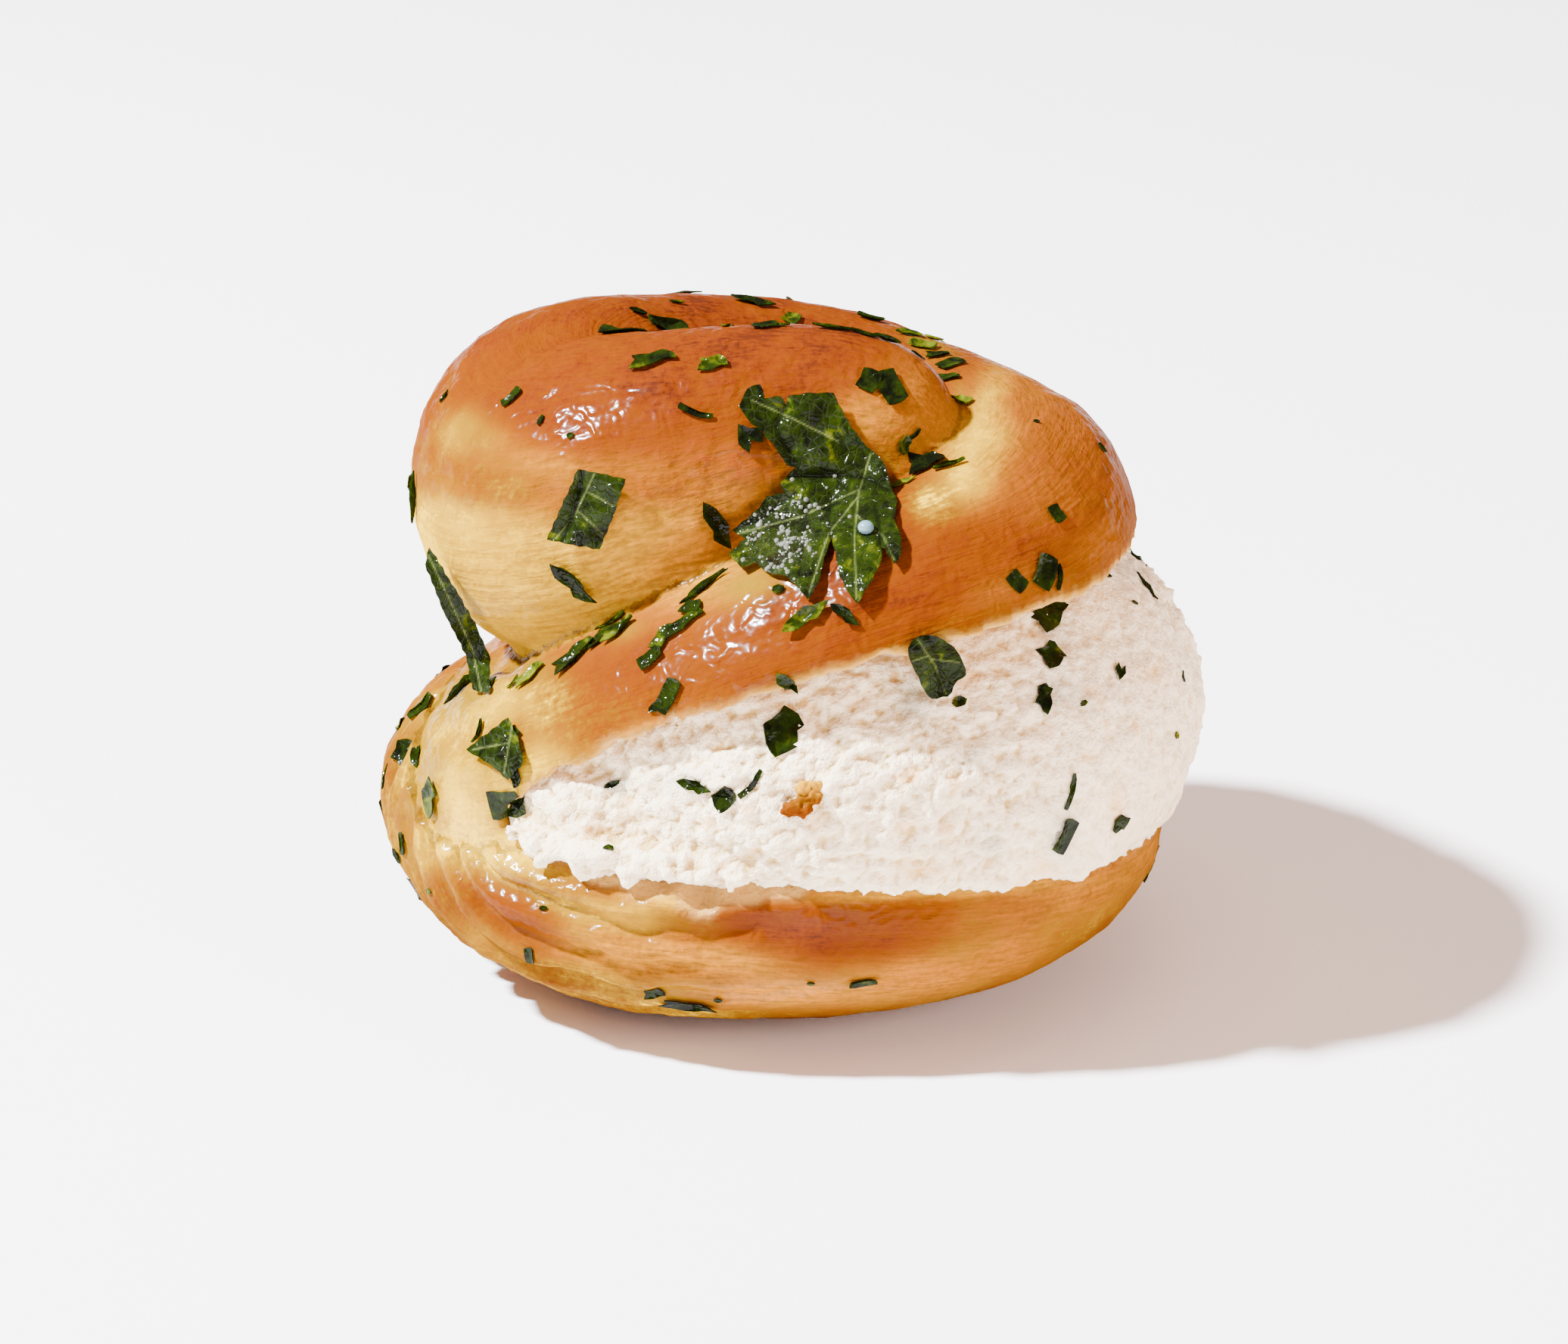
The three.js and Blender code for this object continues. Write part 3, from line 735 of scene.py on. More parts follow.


# How baked the crust is where the photograph shows it, 0 pale yellow to 1 darkest, with painted light and shade in
# some rows: across, up, reach each way, turn, tone and how far the skin is pale stretched dough instead of crust
bakedAndPaintedLightAreas = {
    "knot": [
        # Partly painted light: a painted glow high on the left; the underside is paler dough, painted cream where it
        # is lit on the left and tan in painted shade on the right
        (-31.3, 25.1, 3, 4, 0, 0.5, 0), (-31, 20, 4, 4.5, 0, 0.44, 0), (-26.6, 19.6, 4.5, 2.6, 0, 0.5, 0),
        (-29.9, 22.3, 1.7, 2.2, -30, 0.12, 0.2), (-27.2, 21.7, 2.4, 1.2, 12, 0.26, 0.1),
        (-31.3, 14, 4, 2.8, 0, 0.04, 0.3), (-26.4, 17.4, 4.4, 2.1, -12, 0.4, 0.1),
        (-22.8, 15, 3.4, 1.6, -20, 0.46, 0.4), (-30.2, 9.5, 4, 4.5, 0, 0.0, 0.5), (-21.9, 29.8, 8, 3.2, 22, 0.6, 0),
        (-18.3, 25.1, 6.5, 4.3, 0, 0.78, 0), (-10, 26.7, 7.5, 3.8, 0, 0.8, 0), (-12, 21.5, 7, 2.8, -10, 0.76, 0),
        (-5.8, 19, 4.2, 2, -10, 0.84, 0.2), (-1.6, 29.8, 8.5, 2.2, -5, 0.86, 0), (5.1, 29.6, 5, 2, -15, 0.88, 0),
        (10.3, 27.2, 3.6, 3, -40, 0.66, 0), (7.7, 23, 3.8, 3.2, 0, 0.55, 0.45),
        (13.2, 24.6, 2.4, 4, 20, 0.55, 0.35), (-2.7, 34.1, 9, 1.5, 0, 0.8, 0), (-20, 17.4, 6, 2, -22, 0.5, 0.5),
        (-12, 16, 6, 2.2, -5, 0.5, 0.7), (-16, 11.5, 9, 5, 0, 0.3, 0.85), (-8, 10.5, 5, 4, 0, 0.42, 0.75),
        (-24, 8, 6, 5, 0, 0.14, 0.65), (-4.5, 13.4, 3.6, 3.6, 0, 0.55, 0.6),
        (-25.6, 17.2, 5.2, 2.1, -8, 0.42, 0.05), (-20.4, 15.9, 3.6, 1.7, -20, 0.5, 0.2),
        (-12, 17.4, 5.5, 1.9, -5, 0.62, 0.25),
    ],
    "ring": [
        # Painted light: a yellow glow beside the knot's tip for light thrown back from it, and a small stretched
        # share that lifts the right shoulder where it faces away from the lamp
        (19.5, 23.6, 2.6, 4.9, -18, 0.08, 0.6), (17.6, 18.6, 3, 4, -20, 0.06, 0.6), (14, 15, 2.6, 2.6, 0, 0.14, 0),
        (23.3, 25.1, 3.2, 3.2, 0, 0.6, 0.2), (27.4, 24.1, 3.6, 3.2, -40, 0.7, 0.25),
        (30, 18.4, 2.6, 4.2, 0, 0.68, 0.2), (24, 16.3, 4.6, 4.2, 0, 0.66, 0.2), (17.1, 11.1, 5.7, 3.1, 20, 0.72, 0),
        (12.9, 7, 6.2, 2.1, 15, 0.82, 0), (22.2, 8, 4.2, 1.6, 15, 0.64, 0.25),
        (29.5, 12.1, 3.2, 2.1, 20, 0.62, 0.25), (0.4, 3.8, 5.2, 2.6, 25, 0.7, 0), (7.7, 3.3, 4, 1.4, 25, 0.62, 0),
        (-5.3, 1.8, 5.7, 3.1, 20, 0.72, 0), (-13.1, -0.3, 5.7, 2.1, 15, 0.62, 0),
        (-17.2, -4.5, 4.7, 2.6, 0, 0.5, 0), (-10, -4, 5.2, 1.3, 12, 0.6, 0), (-7.9, -6, 3.2, 0.9, 20, 0.4, 0.8),
        (-14.1, -7, 3.6, 1, 20, 0.3, 0.7), (1, 6.6, 3.4, 1.2, 25, 0.84, 0), (-12.5, -6.6, 4.2, 1.5, 22, 0.4, 0.95),
        (-6.6, -5, 4.2, 1.2, 22, 0.45, 0.95),
    ],
    "left end": [
        (-21.9, -2.9, 3.2, 3.2, 0, 0.26, 0), (-27.1, -2.4, 3.2, 3.2, 0, 0.1, 0.4),
        (-32.3, -4, 3.2, 3.8, 0, 0.08, 0.3), (-34.4, -8.6, 1.8, 3.2, 0, 0.14, 0),
        (-28.7, -11.2, 5, 4, 0, 0.04, 0.5), (-22.4, -9.7, 3.2, 3, 0, 0.1, 0.4),
        (-32.3, -16.4, 3.2, 3.2, 0, 0.1, 0.3), (-25.5, -16.9, 5.2, 2.6, -30, 0.06, 0.5),
        (-31.3, -21.7, 3, 2.4, -40, 0.34, 0), (-24, -23.2, 6.4, 1.3, -30, 0.66, 0),
        (-21.9, -20.8, 4.6, 1.2, -22, 0.24, 0), (-27.5, -25.2, 3, 1.2, -32, 0.3, 0.2),
    ],
    "base": [
        (-15.7, -22.7, 4.2, 1.6, -10, 0.22, 0.5), (-10, -20.6, 4, 1.3, 0, 0.1, 0.9),
        (1.2, -24.3, 5.2, 2.6, -4, 0.78, 0), (8, -24.5, 5, 2.4, -2, 0.76, 0), (-2.9, -23.5, 2.6, 1.5, -15, 0.8, 0),
        (12.9, -23, 5.2, 2.4, 5, 0.72, 0.1), (20.7, -22.4, 5.2, 2.4, 10, 0.55, 0.25),
        (28, -20, 4.2, 2.6, 25, 0.55, 0.45), (32.6, -15.9, 2.6, 3, 50, 0.5, 0.5), (14, -20.2, 12, 0.7, 3, 0.3, 0.8),
        # Partly painted light: paler, warmer stretched dough low on the base's underside, where it faces down into
        # shade
        (-7.9, -26.8, 7.8, 1.6, -6, 0.52, 0.75), (-15.7, -26.4, 5, 1.4, -15, 0.5, 0.65),
        (0.4, -29.9, 9, 1.1, 0, 0.56, 0.75), (12.9, -28.2, 6.2, 1.6, 5, 0.6, 0.6),
        (20.7, -26.3, 4.2, 1.8, 15, 0.58, 0.45),
    ],
}
wetAreas = [  # where the oil glosses: across, up, reach each way, turn and strength
    (-12, 24.6, 10, 5.2, 0, 1), (-5.8, 1.2, 7.5, 3.4, 20, 1), (-26.6, -17, 7.5, 4, -25, 1),
    (-28, -2, 5, 4, 0, 0.28), (-29.7, 16.3, 3, 3, 0, 0.2), (0.4, -29.6, 14, 1.2, 0, 0.5), (3, -22.6, 7, 2, 0, 0.4),
    (-3.7, 7.9, 2.6, 1.4, 15, 1), (-16, -0.2, 6, 2, 15, 0.7), (14, 30, 4, 2, -20, 0.7), (-27, -10, 6, 5, 0, 0.15),
    (-24, 5, 6, 2.5, -20, 0.3),
]
oilAreas = [  # and where it pools yellow
    (-3.2, 8.1, 3.2, 1.5, 15, 1), (-14.6, 3.8, 1.6, 0.8, 20, 0.6), (-24, 0.2, 2.4, 1.3, 15, 0.8),
    (-30.2, -2.6, 4.4, 2.6, 25, 0.9), (-33, -8.4, 2.4, 4, 0, 0.8), (-28.4, -8.4, 2.8, 2.4, 0, 0.6),
    (13.6, 30.4, 2.4, 0.8, -25, 0.6), (-29.4, 22.6, 2.2, 1.5, 20, 0.4), (16.2, 25.6, 0.6, 1.4, 0, 0.5),
]


def inSight(points, normals, tree):
    # 1 where the photograph sees the surface
    facing = normals @ -sightAhead
    seen = step(0.0, 0.2, facing)
    for i in np.nonzero(facing > 0)[0]:
        start = points[i] + 0.4 * normals[i]
        toward = eyeAt - start
        if tree.ray_cast(Vector(start), Vector(toward / np.linalg.norm(toward)), 90)[3] is not None:
            seen[i] = 0
    return seen


def nearness(across, up, spot):
    # How near points in view are to the middle of an oval spot
    turn = math.radians(spot[4])
    du, dv = across - spot[0], up - spot[1]
    along = (du * math.cos(turn) + dv * math.sin(turn)) / spot[2]
    over = (dv * math.cos(turn) - du * math.sin(turn)) / spot[3]
    return np.exp(-(along * along + over * over))


def colourBun(mesh, tree):
    points, normals = pointsOf(mesh), normalsOf(mesh)
    strand = skinRun(points)[0]
    edges = edgesOf(mesh)
    hollow = ((smoothed(points, edges, 40) - points) * normals).sum(axis=1)
    tone = 0.26 + 0.44 * step(-0.1, 0.85, normals[:, 2]) + 0.1 * step(20, 55, points[:, 2])
    tone += 0.12 * np.sin(points[:, 0] * 0.19 + 2.1 * np.sin(points[:, 1] * 0.13)) * np.sin(points[:, 1] * 0.17 + 1)
    under = step(0.12, -0.35, normals[:, 2]) * step(22, 30, points[:, 2])
    tone = tone + (0.2 - tone) * 0.85 * under
    pale = 0.7 * under
    seen = smoothed(inSight(points, normals, tree), edges, 6)
    across, up = viewOf(points)
    # Tones from the table, with its painted light and shade, where the photograph sees the skin
    for spots in bakedAndPaintedLightAreas.values():
        for spot in spots:
            near = np.minimum(nearness(across, up, spot) * 1.35, 1) * seen
            tone += (spot[5] - tone) * near
            pale += (spot[6] - pale) * near
    wet, oil = 0.35 * step(0.2, 0.8, normals[:, 2]), np.zeros(len(points))
    for spot in wetAreas:
        wet = np.maximum(wet, nearness(across, up, spot) * seen * spot[5])
    for spot in oilAreas:
        oil = np.maximum(oil, nearness(across, up, spot) * seen * spot[5])
    tone -= 0.35 * np.clip(hollow - 0.35, 0, 1)
    foot = step(5, 1.5, points[:, 2])
    tone = tone + (0.55 - tone) * foot * (1 - seen)
    addFloats(mesh, "tone", np.clip(tone, 0, 1))
    addFloats(mesh, "tan", np.clip(pale, 0, 1))
    addFloats(mesh, "wet", np.clip(wet + 0.3 * oil, 0, 1))
    addFloats(mesh, "oil", oil)
    addFloats(mesh, "cutFace", smoothed(cutMask(points, normals), edges, 1))
    addVectors(mesh, "strandRun", strand)


def viewOf(points):
    # Across and up of points as seen from the photograph's viewpoint
    v = points - eyeAt
    deep = v @ sightAhead
    return v[:, 0] * eye["away"] / deep, (v @ sightUp) * eye["away"] / deep


points = pointsOf(bun.data)
normals = normalsOf(bun.data)
strand, station, onRope, belowLip = skinRun(points)
addVectors(bun.data, "strand", strand)
folded = np.where(onRope, 0.35 * step(3, 1, station), step(4, -14, points[:, 0]) * step(1, 3, belowLip))
folded = folded * (0.4 + 0.6 * step(14, -6, points[:, 1]))
addFloats(bun.data, "folded", smoothed(folded, edgesOf(bun.data), 6))
wrinkled = step(8.2, 9.5, station) * step(13, 12, station) * onRope * step(-0.2, 0.3, normals[:, 2])
addFloats(bun.data, "wrinkled", smoothed(np.maximum(wrinkled, 0.8 * folded), edgesOf(bun.data), 6))
addFloats(bun.data, "cut", smoothed(cutMask(points, normals), edgesOf(bun.data), 1))
runTree(bun, reliefTree(), relief)
resting = pointsOf(bun.data)
resting[:, 2] = np.maximum(resting[:, 2], 0)  # the underside lies flat on the floor
movePoints(bun.data, resting)
bunTree = treeOf(bun)
colourBun(bun.data, bunTree)
print("skin and crumb shaped")


# The filling: a mass that bulges out on the right and front, with a tail to the closed end of the slit
filling = {
    "mass": {"at": (4, -1.5, 24.5), "half": (33.4, 34, 22), "power": 2}, "below": 23.6,
    "tail": {"at": (-13, -1, 22), "half": (15, 28.8, 9), "power": 3},
    "bite": 0.35,  # runs this far into the crumb, so that no gap shows
    "coarse": 0.6, "grain": 0.42,  # voxels before and after the slit shapes it
}
curdSizes = {
    "Curd Size": 1.5, "Curd Height": 1.6, "Grain Size": 0.75, "Grain Height": 1.15,
    "Swell Size": 5.5, "Swell Height": 1.6, "Smear Height": 0.3,
}
stainsAndFlakeShadows = {  # painted shadows that the flakes cast, and specks of oil: across, up and reach each way
    "greenWhey": [
        (25.9, -1.8, 3, 1.8), (17.6, -8.1, 1.6, 1.2), (19, -16.1, 1.4, 1.6), (-9.6, -10.4, 2.2, 1),
        (-15.6, -10.4, 1.4, 0.9), (25.6, -15, 1.6, 3), (25.4, 3.2, 1.6, 3), (12, -3, 2, 1.6), (31.5, 9.5, 2, 1.4),
    ],
    "golden": [
        (34.3, -0.1, 1.2, 1), (30, 4.5, 0.5, 0.4), (30.8, -12.5, 0.7, 1.8), (28, -7.9, 0.6, 0.5),
        (24.2, -18, 1.2, 0.9), (12.9, -18.4, 2.4, 1), (17.4, -0.5, 1, 1), (3, -14, 1, 0.8),
    ],
}


def lipCrumbs():
    # Ragged bits of curd along the lower lip: many at the closed end of the slit, few further round
    lip = lipPoints()
    centre = np.array((dough["base"]["at"][0], dough["base"]["at"][1], 0))
    things = []
    for i, spot in enumerate(lip):
        front = spot[1] < -8
        left = float(step(4, -8, spot[0])) if front else 0
        many = 2 + int(5 * left) if front else 1
        for _ in range(many):
            if chance.random() > 0.35 + 0.6 * left:
                continue
            size = chance.uniform(0.45, 0.8) + 0.5 * left * chance.random()
            outward = (spot - centre) * (1, 1, 0)
            outward /= np.linalg.norm(outward)
            at = spot + outward * chance.uniform(-1.8, 0.1 + 0.7 * left)
            at = at + (0, 0, chance.uniform(-0.2, 0.9 + 0.6 * left))
            at[:2] += chance.uniform(-0.5, 0.5, 2)
            half = size * chance.uniform(0.7, 1.3, 3)
            things.append(massObject({"at": at, "half": half, "power": 2}, 10))
    return things


def shapeRicotta():
    body = joinAll([massObject(filling["mass"], 128, filling["below"]), massObject(filling["tail"], 96)])
    withModifier(body, "REMESH", mode="VOXEL", voxel_size=filling["coarse"])
    cutBy(body, slitObject(-filling["bite"]), "INTERSECT")
    ricotta = joinAll([body] + lipCrumbs())
    withModifier(ricotta, "REMESH", mode="VOXEL", voxel_size=filling["grain"])
    withModifier(ricotta, "SMOOTH", factor=0.5, iterations=2)
    return ricotta


def curdTree():
    # Lumpy curd where the filling broke, smooth where a knife drew over it
    tree, given = geometryTree("curdRelief", curdSizes)
    place = addNode(tree, "GeometryNodeInputPosition")
    broken = namedIn(tree, "FLOAT", "broken")["broken"]
    patterns = {  # size, how the place is squashed first, detail and roughness
        "lump": (given["Curd Size"], (0.8, 0.8, 1.15), 0, 0), "curd": (given["Curd Size"], (0.8, 0.8, 1.2), 3, 0.6),
        "grain": (given["Grain Size"], (1, 1, 1), 2, 0.6), "swell": (given["Swell Size"], (0.8, 0.8, 1.1), 2, 0.5),
        "smear": (1.6, (1.6, 1.6, 0.35), 2, 0.5),
    }
    made = {}
    for name, (size, squash, detail, rough) in patterns.items():
        squashed = addNode(tree, "ShaderNodeVectorMath", {0: place, 1: squash}, operation="MULTIPLY")
        inputs = {"Vector": squashed, "Scale": ("DIVIDE", 1.0, size)}
        if name == "lump":
            made[name] = addNode(tree, "ShaderNodeTexVoronoi", {**inputs, "Smoothness": 0.45}, feature="SMOOTH_F1")
        else:
            inputs.update({"Detail": detail, "Roughness": rough, "Distortion": 0.5})
            made[name] = addNode(tree, "ShaderNodeTexNoise", inputs)
    curd = ("MULTIPLY", ("SUBTRACT", 0.45, made["lump"]), ("MULTIPLY", given["Curd Height"], 0.45))
    curd = total(curd, around(made["curd"], given["Curd Height"]), around(made["grain"], given["Grain Height"]))
    height = total(("MULTIPLY", curd, broken), around(made["smear"], given["Smear Height"]),
                   around(made["swell"], given["Swell Height"]))
    moved = movedAlong(tree, given["Geometry"], addNode(tree, "GeometryNodeInputNormal"), height)
    addNode(tree, "NodeGroupOutput", {"Geometry": moved})
    return tree


ricotta = shapeRicotta()
spots = pointsOf(ricotta.data)
scraped = step(15, 25, spots[:, 0] - 0.25 * (spots[:, 2] - 25)) * step(5, -5, spots[:, 1])
addFloats(ricotta.data, "broken", 1 - 0.6 * scraped)
runTree(ricotta, curdTree(), curdSizes)
spots, outward = pointsOf(ricotta.data), normalsOf(ricotta.data)
# How hollow each point sits, for the painted shade between the curds
hollow = ((smoothed(spots, edgesOf(ricotta.data), 8) - spots) * outward).sum(axis=1)
addFloats(ricotta.data, "hollow", np.clip(0.5 + hollow * 2.2, 0, 1))
across, up = viewOf(spots)
# Painted flake shadows and oil specks, laid where they show
for label, stains in stainsAndFlakeShadows.items():
    addFloats(ricotta.data, label, np.max([nearness(across, up, (*stain, 0)) for stain in stains], axis=0))
ricottaTree = treeOf(ricotta)
print("filling shaped:", len(ricotta.data.vertices), "points")


leafEdges = {  # corners of each edge, across and up from the photograph's viewpoint, anticlockwise
    "leaf_folded": [
        (4.6, 25.9), (2.6, 25.9), (0.4, 25.6), (0.2, 24.7), (-0.3, 25.6), (-1.8, 25.4), (-2.2, 26.7), (-3.4, 26.3),
        (-4.2, 24.7), (-3.4, 23.5), (-2, 22.2), (-0.8, 20.9), (0.2, 19.2), (1.1, 19), (-0.3, 17.6), (0.1, 16.6),
        (-1.6, 16.3), (-2.3, 15.2), (-3.4, 14.2), (-4.8, 13.2), (-3.6, 12.4), (-5.1, 10.9), (-4, 9.7), (-2.6, 10.2),
        (-1.6, 9.3), (0.2, 8.9), (1.2, 8), (2.2, 6.7), (3.2, 8.3), (3.7, 10.6), (4.4, 12.4), (4.8, 11), (5, 9.4),
        (5.9, 7.5), (6.8, 6.3), (7.8, 8), (8.7, 9.6), (9.1, 10.9), (8.8, 11.9), (9.4, 11.4), (10.2, 10),
        (10.8, 10.9), (10.9, 12.4), (10.2, 14.2), (10.5, 15.8), (9.9, 17.3), (9.5, 18.9), (8.7, 20.1), (7.7, 20.9),
        (6.2, 22.7), (5.1, 24.8),
    ],
    "leaf_square": [
        (-19.1, 18.8), (-20.6, 15.4), (-22, 12.3), (-19.6, 11.8), (-17.1, 11.4), (-15.8, 14.6), (-14.7, 17.9),
        (-17, 18.4),
    ],
    "leaf_point": [
        (12.8, 3.4), (12, 3), (11.5, 2.2), (11.8, 0.8), (12.5, -0.5), (13, -1.7), (13.7, -2.5), (15.2, -2.3),
        (16.1, -0.8), (16.9, -0.3), (16.6, 0.9), (16, 2), (15.2, 2.7), (14.2, 3.3),
    ],
    "leaf_fork": [(-25.6, -4.2), (-29.5, -7.2), (-27.2, -8.6), (-25.6, -10), (-24.2, -8.4), (-24.6, -6.4)],
    "leaf_strip": [
        (-32.9, 11.6), (-33.3, 10), (-31.6, 5.6), (-29.5, 1.6), (-28.9, -1.6), (-27.4, -2), (-27.2, 1.2),
        (-28.4, 4), (-30.2, 7.2),
    ],
}
leafVeins = {  # from where the leaf was joined out to its tips
    "leaf_folded": [
        [(8, 20.2), (6.9, 16.6), (6.5, 12.5), (6.7, 6.8)], [(6.8, 16.2), (4.1, 12.8), (2.3, 7.4)],
        [(6.6, 14.6), (9.2, 12.6), (10.2, 10.4)], [(6.9, 16.9), (1.5, 14.4), (-4.4, 12.8)],
        [(5, 21.4), (0.6, 23.6), (-3, 25.2)],
    ],
    "leaf_square": [
        [(-17.6, 18.4), (-19.4, 14.6), (-21.2, 12.4)], [(-18.4, 16.8), (-15.8, 15.4)], [(-19.2, 15), (-16.8, 12.8)],
    ],
    "leaf_point": [[(12.4, 3), (14, 0.6), (15, -2)], [(13.6, 1.2), (16.3, 0.9)], [(13.4, 1.5), (11.9, 1)]],
    "leaf_fork": [[(-25.2, -4.8), (-26, -9.4)], [(-25.6, -6.6), (-28.9, -7.2)]],
    "leaf_strip": [[(-33, 10.8), (-30.9, 6.4), (-28.9, 2), (-28.1, -1.8)]],
}
leafCreasesAndShade = {  # where one lobe lies over the next: sunk there, and darkened with painted shade
    "leaf_folded": [
        [(0.6, 18.1), (4.9, 18.3), (8, 17.9), (9.8, 16.8)], [(4.4, 16.5), (4.1, 14.2), (4.6, 10.8)],
        [(2.2, 15.6), (1.8, 12.6), (1.4, 9)], [(8.5, 15), (8.8, 13.6), (8.9, 11.9)],
        [(1, 16.6), (-2.1, 14.2), (-4.4, 13.3)], [(0.2, 24.8), (-0.8, 22.6), (0.6, 20.6)],
    ],
    "leaf_square": [[(-18.6, 18.6), (-19.4, 15), (-20.6, 12)]],
    "leaf_point": [[(13.4, 3.4), (14.4, 0.6), (14.6, -2)]],
}
leafLook = {
    "cutReach": 70,  # how far before and behind the aim the outline is cut
    "thick": 0.18, "gap": 0.12, "grid": 0.14, "coarse": 1.25, "wave": 0.28, "veinWide": 0.075, "tooth": 0.6,
    "crease": 0.2, "creaseDeep": 0.3, "quilt": 0.26, "quiltOver": 0.9, "froth": (-1.4, 12, 4.2, 3.4, 20),
}
foldLine = {"left": 18.3, "slope": -0.13, "width": 0.8, "sink": 0.4}


def nearLines(lines, across, up, wide):
    # 1 on a line, falling to 0 away from it
    near = np.zeros(across.shape)
    for line in lines:
        for (ax, ay), (bx, by) in zip(line, line[1:]):
            t = np.clip(((across - ax) * (bx - ax) + (up - ay) * (by - ay)) / ((bx - ax) ** 2 + (by - ay) ** 2), 0, 1)
            away = np.hypot(across - ax - t * (bx - ax), up - ay - t * (by - ay))
            near = np.maximum(near, np.exp(-((away / wide) ** 2)))
    return near


def leafLift(name, across, up):
    # Waves over the leaf, blades that swell between their veins, and the valley of its fold
    fromFold = (up - foldLine["left"] - foldLine["slope"] * across) / foldLine["width"]
    waves = leafLook["wave"] * (1 + np.sin(across * 1.1 + 0.6 * np.sin(up * 0.7)) * np.sin(up * 0.8 + 1))
    waves += leafLook["quilt"] * (1 - nearLines(leafVeins[name], across, up, leafLook["quiltOver"]))
    waves -= leafLook["creaseDeep"] * nearLines(leafCreasesAndShade.get(name, []), across, up, 2 * leafLook["crease"])
    return waves + foldLine["sink"] * (1 - np.exp(-fromFold * fromFold))


def toothedEdge(corners):
    # Small teeth along a leaf's edge, between its corners
    out = []
    for i, (x, y) in enumerate(corners):
        nextX, nextY = corners[(i + 1) % len(corners)]
        long = math.hypot(nextX - x, nextY - y)
        steps = max(2, round(long / leafLook["tooth"]))
        for k in range(steps):
            t = k / steps
            bulge = (0.1 if k % 2 else -0.04) * (k > 0) * chance.uniform(0.3, 1.2)
            wide, tall = nextX - x, nextY - y
            out.append((x + wide * t + bulge * tall / long, y + tall * t - bulge * wide / long))
    return out


def shapeLeaf(name, under):
    edge = toothedEdge(leafEdges[name])
    xs, ys = [p[0] for p in edge], [p[1] for p in edge]
    left, right, low, high = min(xs) - 0.2, max(xs) + 0.2, min(ys) - 0.2, max(ys) + 0.2

    def reach(across, up):
        hit = under.ray_cast(Vector(eyeAt), Vector(sightTo(across, up)))
        return hit[3] if hit[3] is not None else np.inf

    def grid(columns, rows, valueAt):
        xs, ys = np.linspace(left, right, columns), np.linspace(low, high, rows)
        return np.array([[valueAt(x, y) for x in xs] for y in ys])

    def resized(table, count, axis):
        at = np.linspace(0, table.shape[axis] - 1, count)
        return np.apply_along_axis(lambda line: np.interp(at, np.arange(len(line)), line), axis, table)

    columns, rows = [max(3, math.ceil(size / leafLook["coarse"]) + 1) for size in (right - left, high - low)]
    limit = grid(columns, rows, reach) - 0.2
    nearest = limit[np.isfinite(limit)].min()
    away = np.where(np.isfinite(limit), limit, nearest + 6)
    for _ in range(12):
        padded = np.pad(away, 1, mode="edge")
        around = (padded[:-2, 1:-1] + padded[2:, 1:-1] + padded[1:-1, :-2] + padded[1:-1, 2:]) / 4
        away = np.minimum(limit, around + 0.02)
    fineColumns, fineRows = [math.ceil(size / leafLook["grid"]) + 1 for size in (right - left, high - low)]
    fine = resized(resized(away, fineColumns, 1), fineRows, 0)
    for _ in range(14):
        padded = np.pad(fine, 1, mode="edge")
        fine = (padded[:-2, 1:-1] + padded[2:, 1:-1] + padded[1:-1, :-2] + padded[1:-1, 2:] + 2 * fine) / 6
    fine = np.minimum(fine, grid(fineColumns, fineRows, reach) - leafLook["gap"])
    acrossAll, upAll = np.meshgrid(np.linspace(left, right, fineColumns), np.linspace(low, high, fineRows))
    lifted = fine - leafLift(name, acrossAll, upAll)
    sights = grid(fineColumns, fineRows, sightTo)
    under3 = eyeAt + sights * lifted[:, :, None]
    over3 = eyeAt + sights * (lifted - leafLook["thick"])[:, :, None]
    points = np.concatenate([over3.reshape(-1, 3), under3.reshape(-1, 3)])
    count = fineRows * fineColumns
    faces = []
    for i in range(fineRows - 1):
        for j in range(fineColumns - 1):
            a = i * fineColumns + j
            b, c, d = a + 1, a + fineColumns + 1, a + fineColumns
            faces += [(a, b, c, d), (count + a, count + d, count + c, count + b)]
    rim = [*range(fineColumns)] + [fineColumns * (i + 1) - 1 for i in range(1, fineRows)]
    rim += [count - 2 - i for i in range(fineColumns - 1)]
    rim += [fineColumns * (fineRows - 2 - i) for i in range(fineRows - 2)]
    for k, a in enumerate(rim):
        b = rim[(k + 1) % len(rim)]
        faces.append((b, a, count + a, count + b))
    sheet = meshObject(name, points, faces)
    near = [eyeAt + sightTo(x, y) * (eye["away"] - leafLook["cutReach"]) for x, y in edge]
    far = [eyeAt + sightTo(x, y) * (eye["away"] + leafLook["cutReach"]) for x, y in edge]
    n = len(edge)
    walls = [(k, k + n, (k + 1) % n + n, (k + 1) % n) for k in range(n)]
    cutter = meshObject("cutter", near + far, [tuple(range(n)), tuple(range(2 * n - 1, n - 1, -1))] + walls)
    cutBy(sheet, cutter, "INTERSECT")
    colourLeaf(sheet.data, name)
    return sheet


def colourLeaf(mesh, name):
    across, up = viewOf(pointsOf(mesh))
    addFloats(mesh, "vein", nearLines(leafVeins[name], across, up, leafLook["veinWide"]))
    # Nearness to the lines where lobes overlap, for the painted shade there
    addFloats(mesh, "crease", nearLines(leafCreasesAndShade.get(name, []), across, up, leafLook["crease"]))
    froth = nearness(across, up, leafLook["froth"]) * (name == "leaf_folded")
    addFloats(mesh, "froth", froth)
    addFloats(mesh, "frothOver", froth * (normalsOf(mesh) @ -sightAhead > 0.3))


pieceTree = treeOf(bun, ricotta)
leaves = {name: shapeLeaf(name, pieceTree) for name in leafEdges}
print("leaves laid:", sum(len(leaf.data.polygons) for leaf in leaves.values()), "faces")


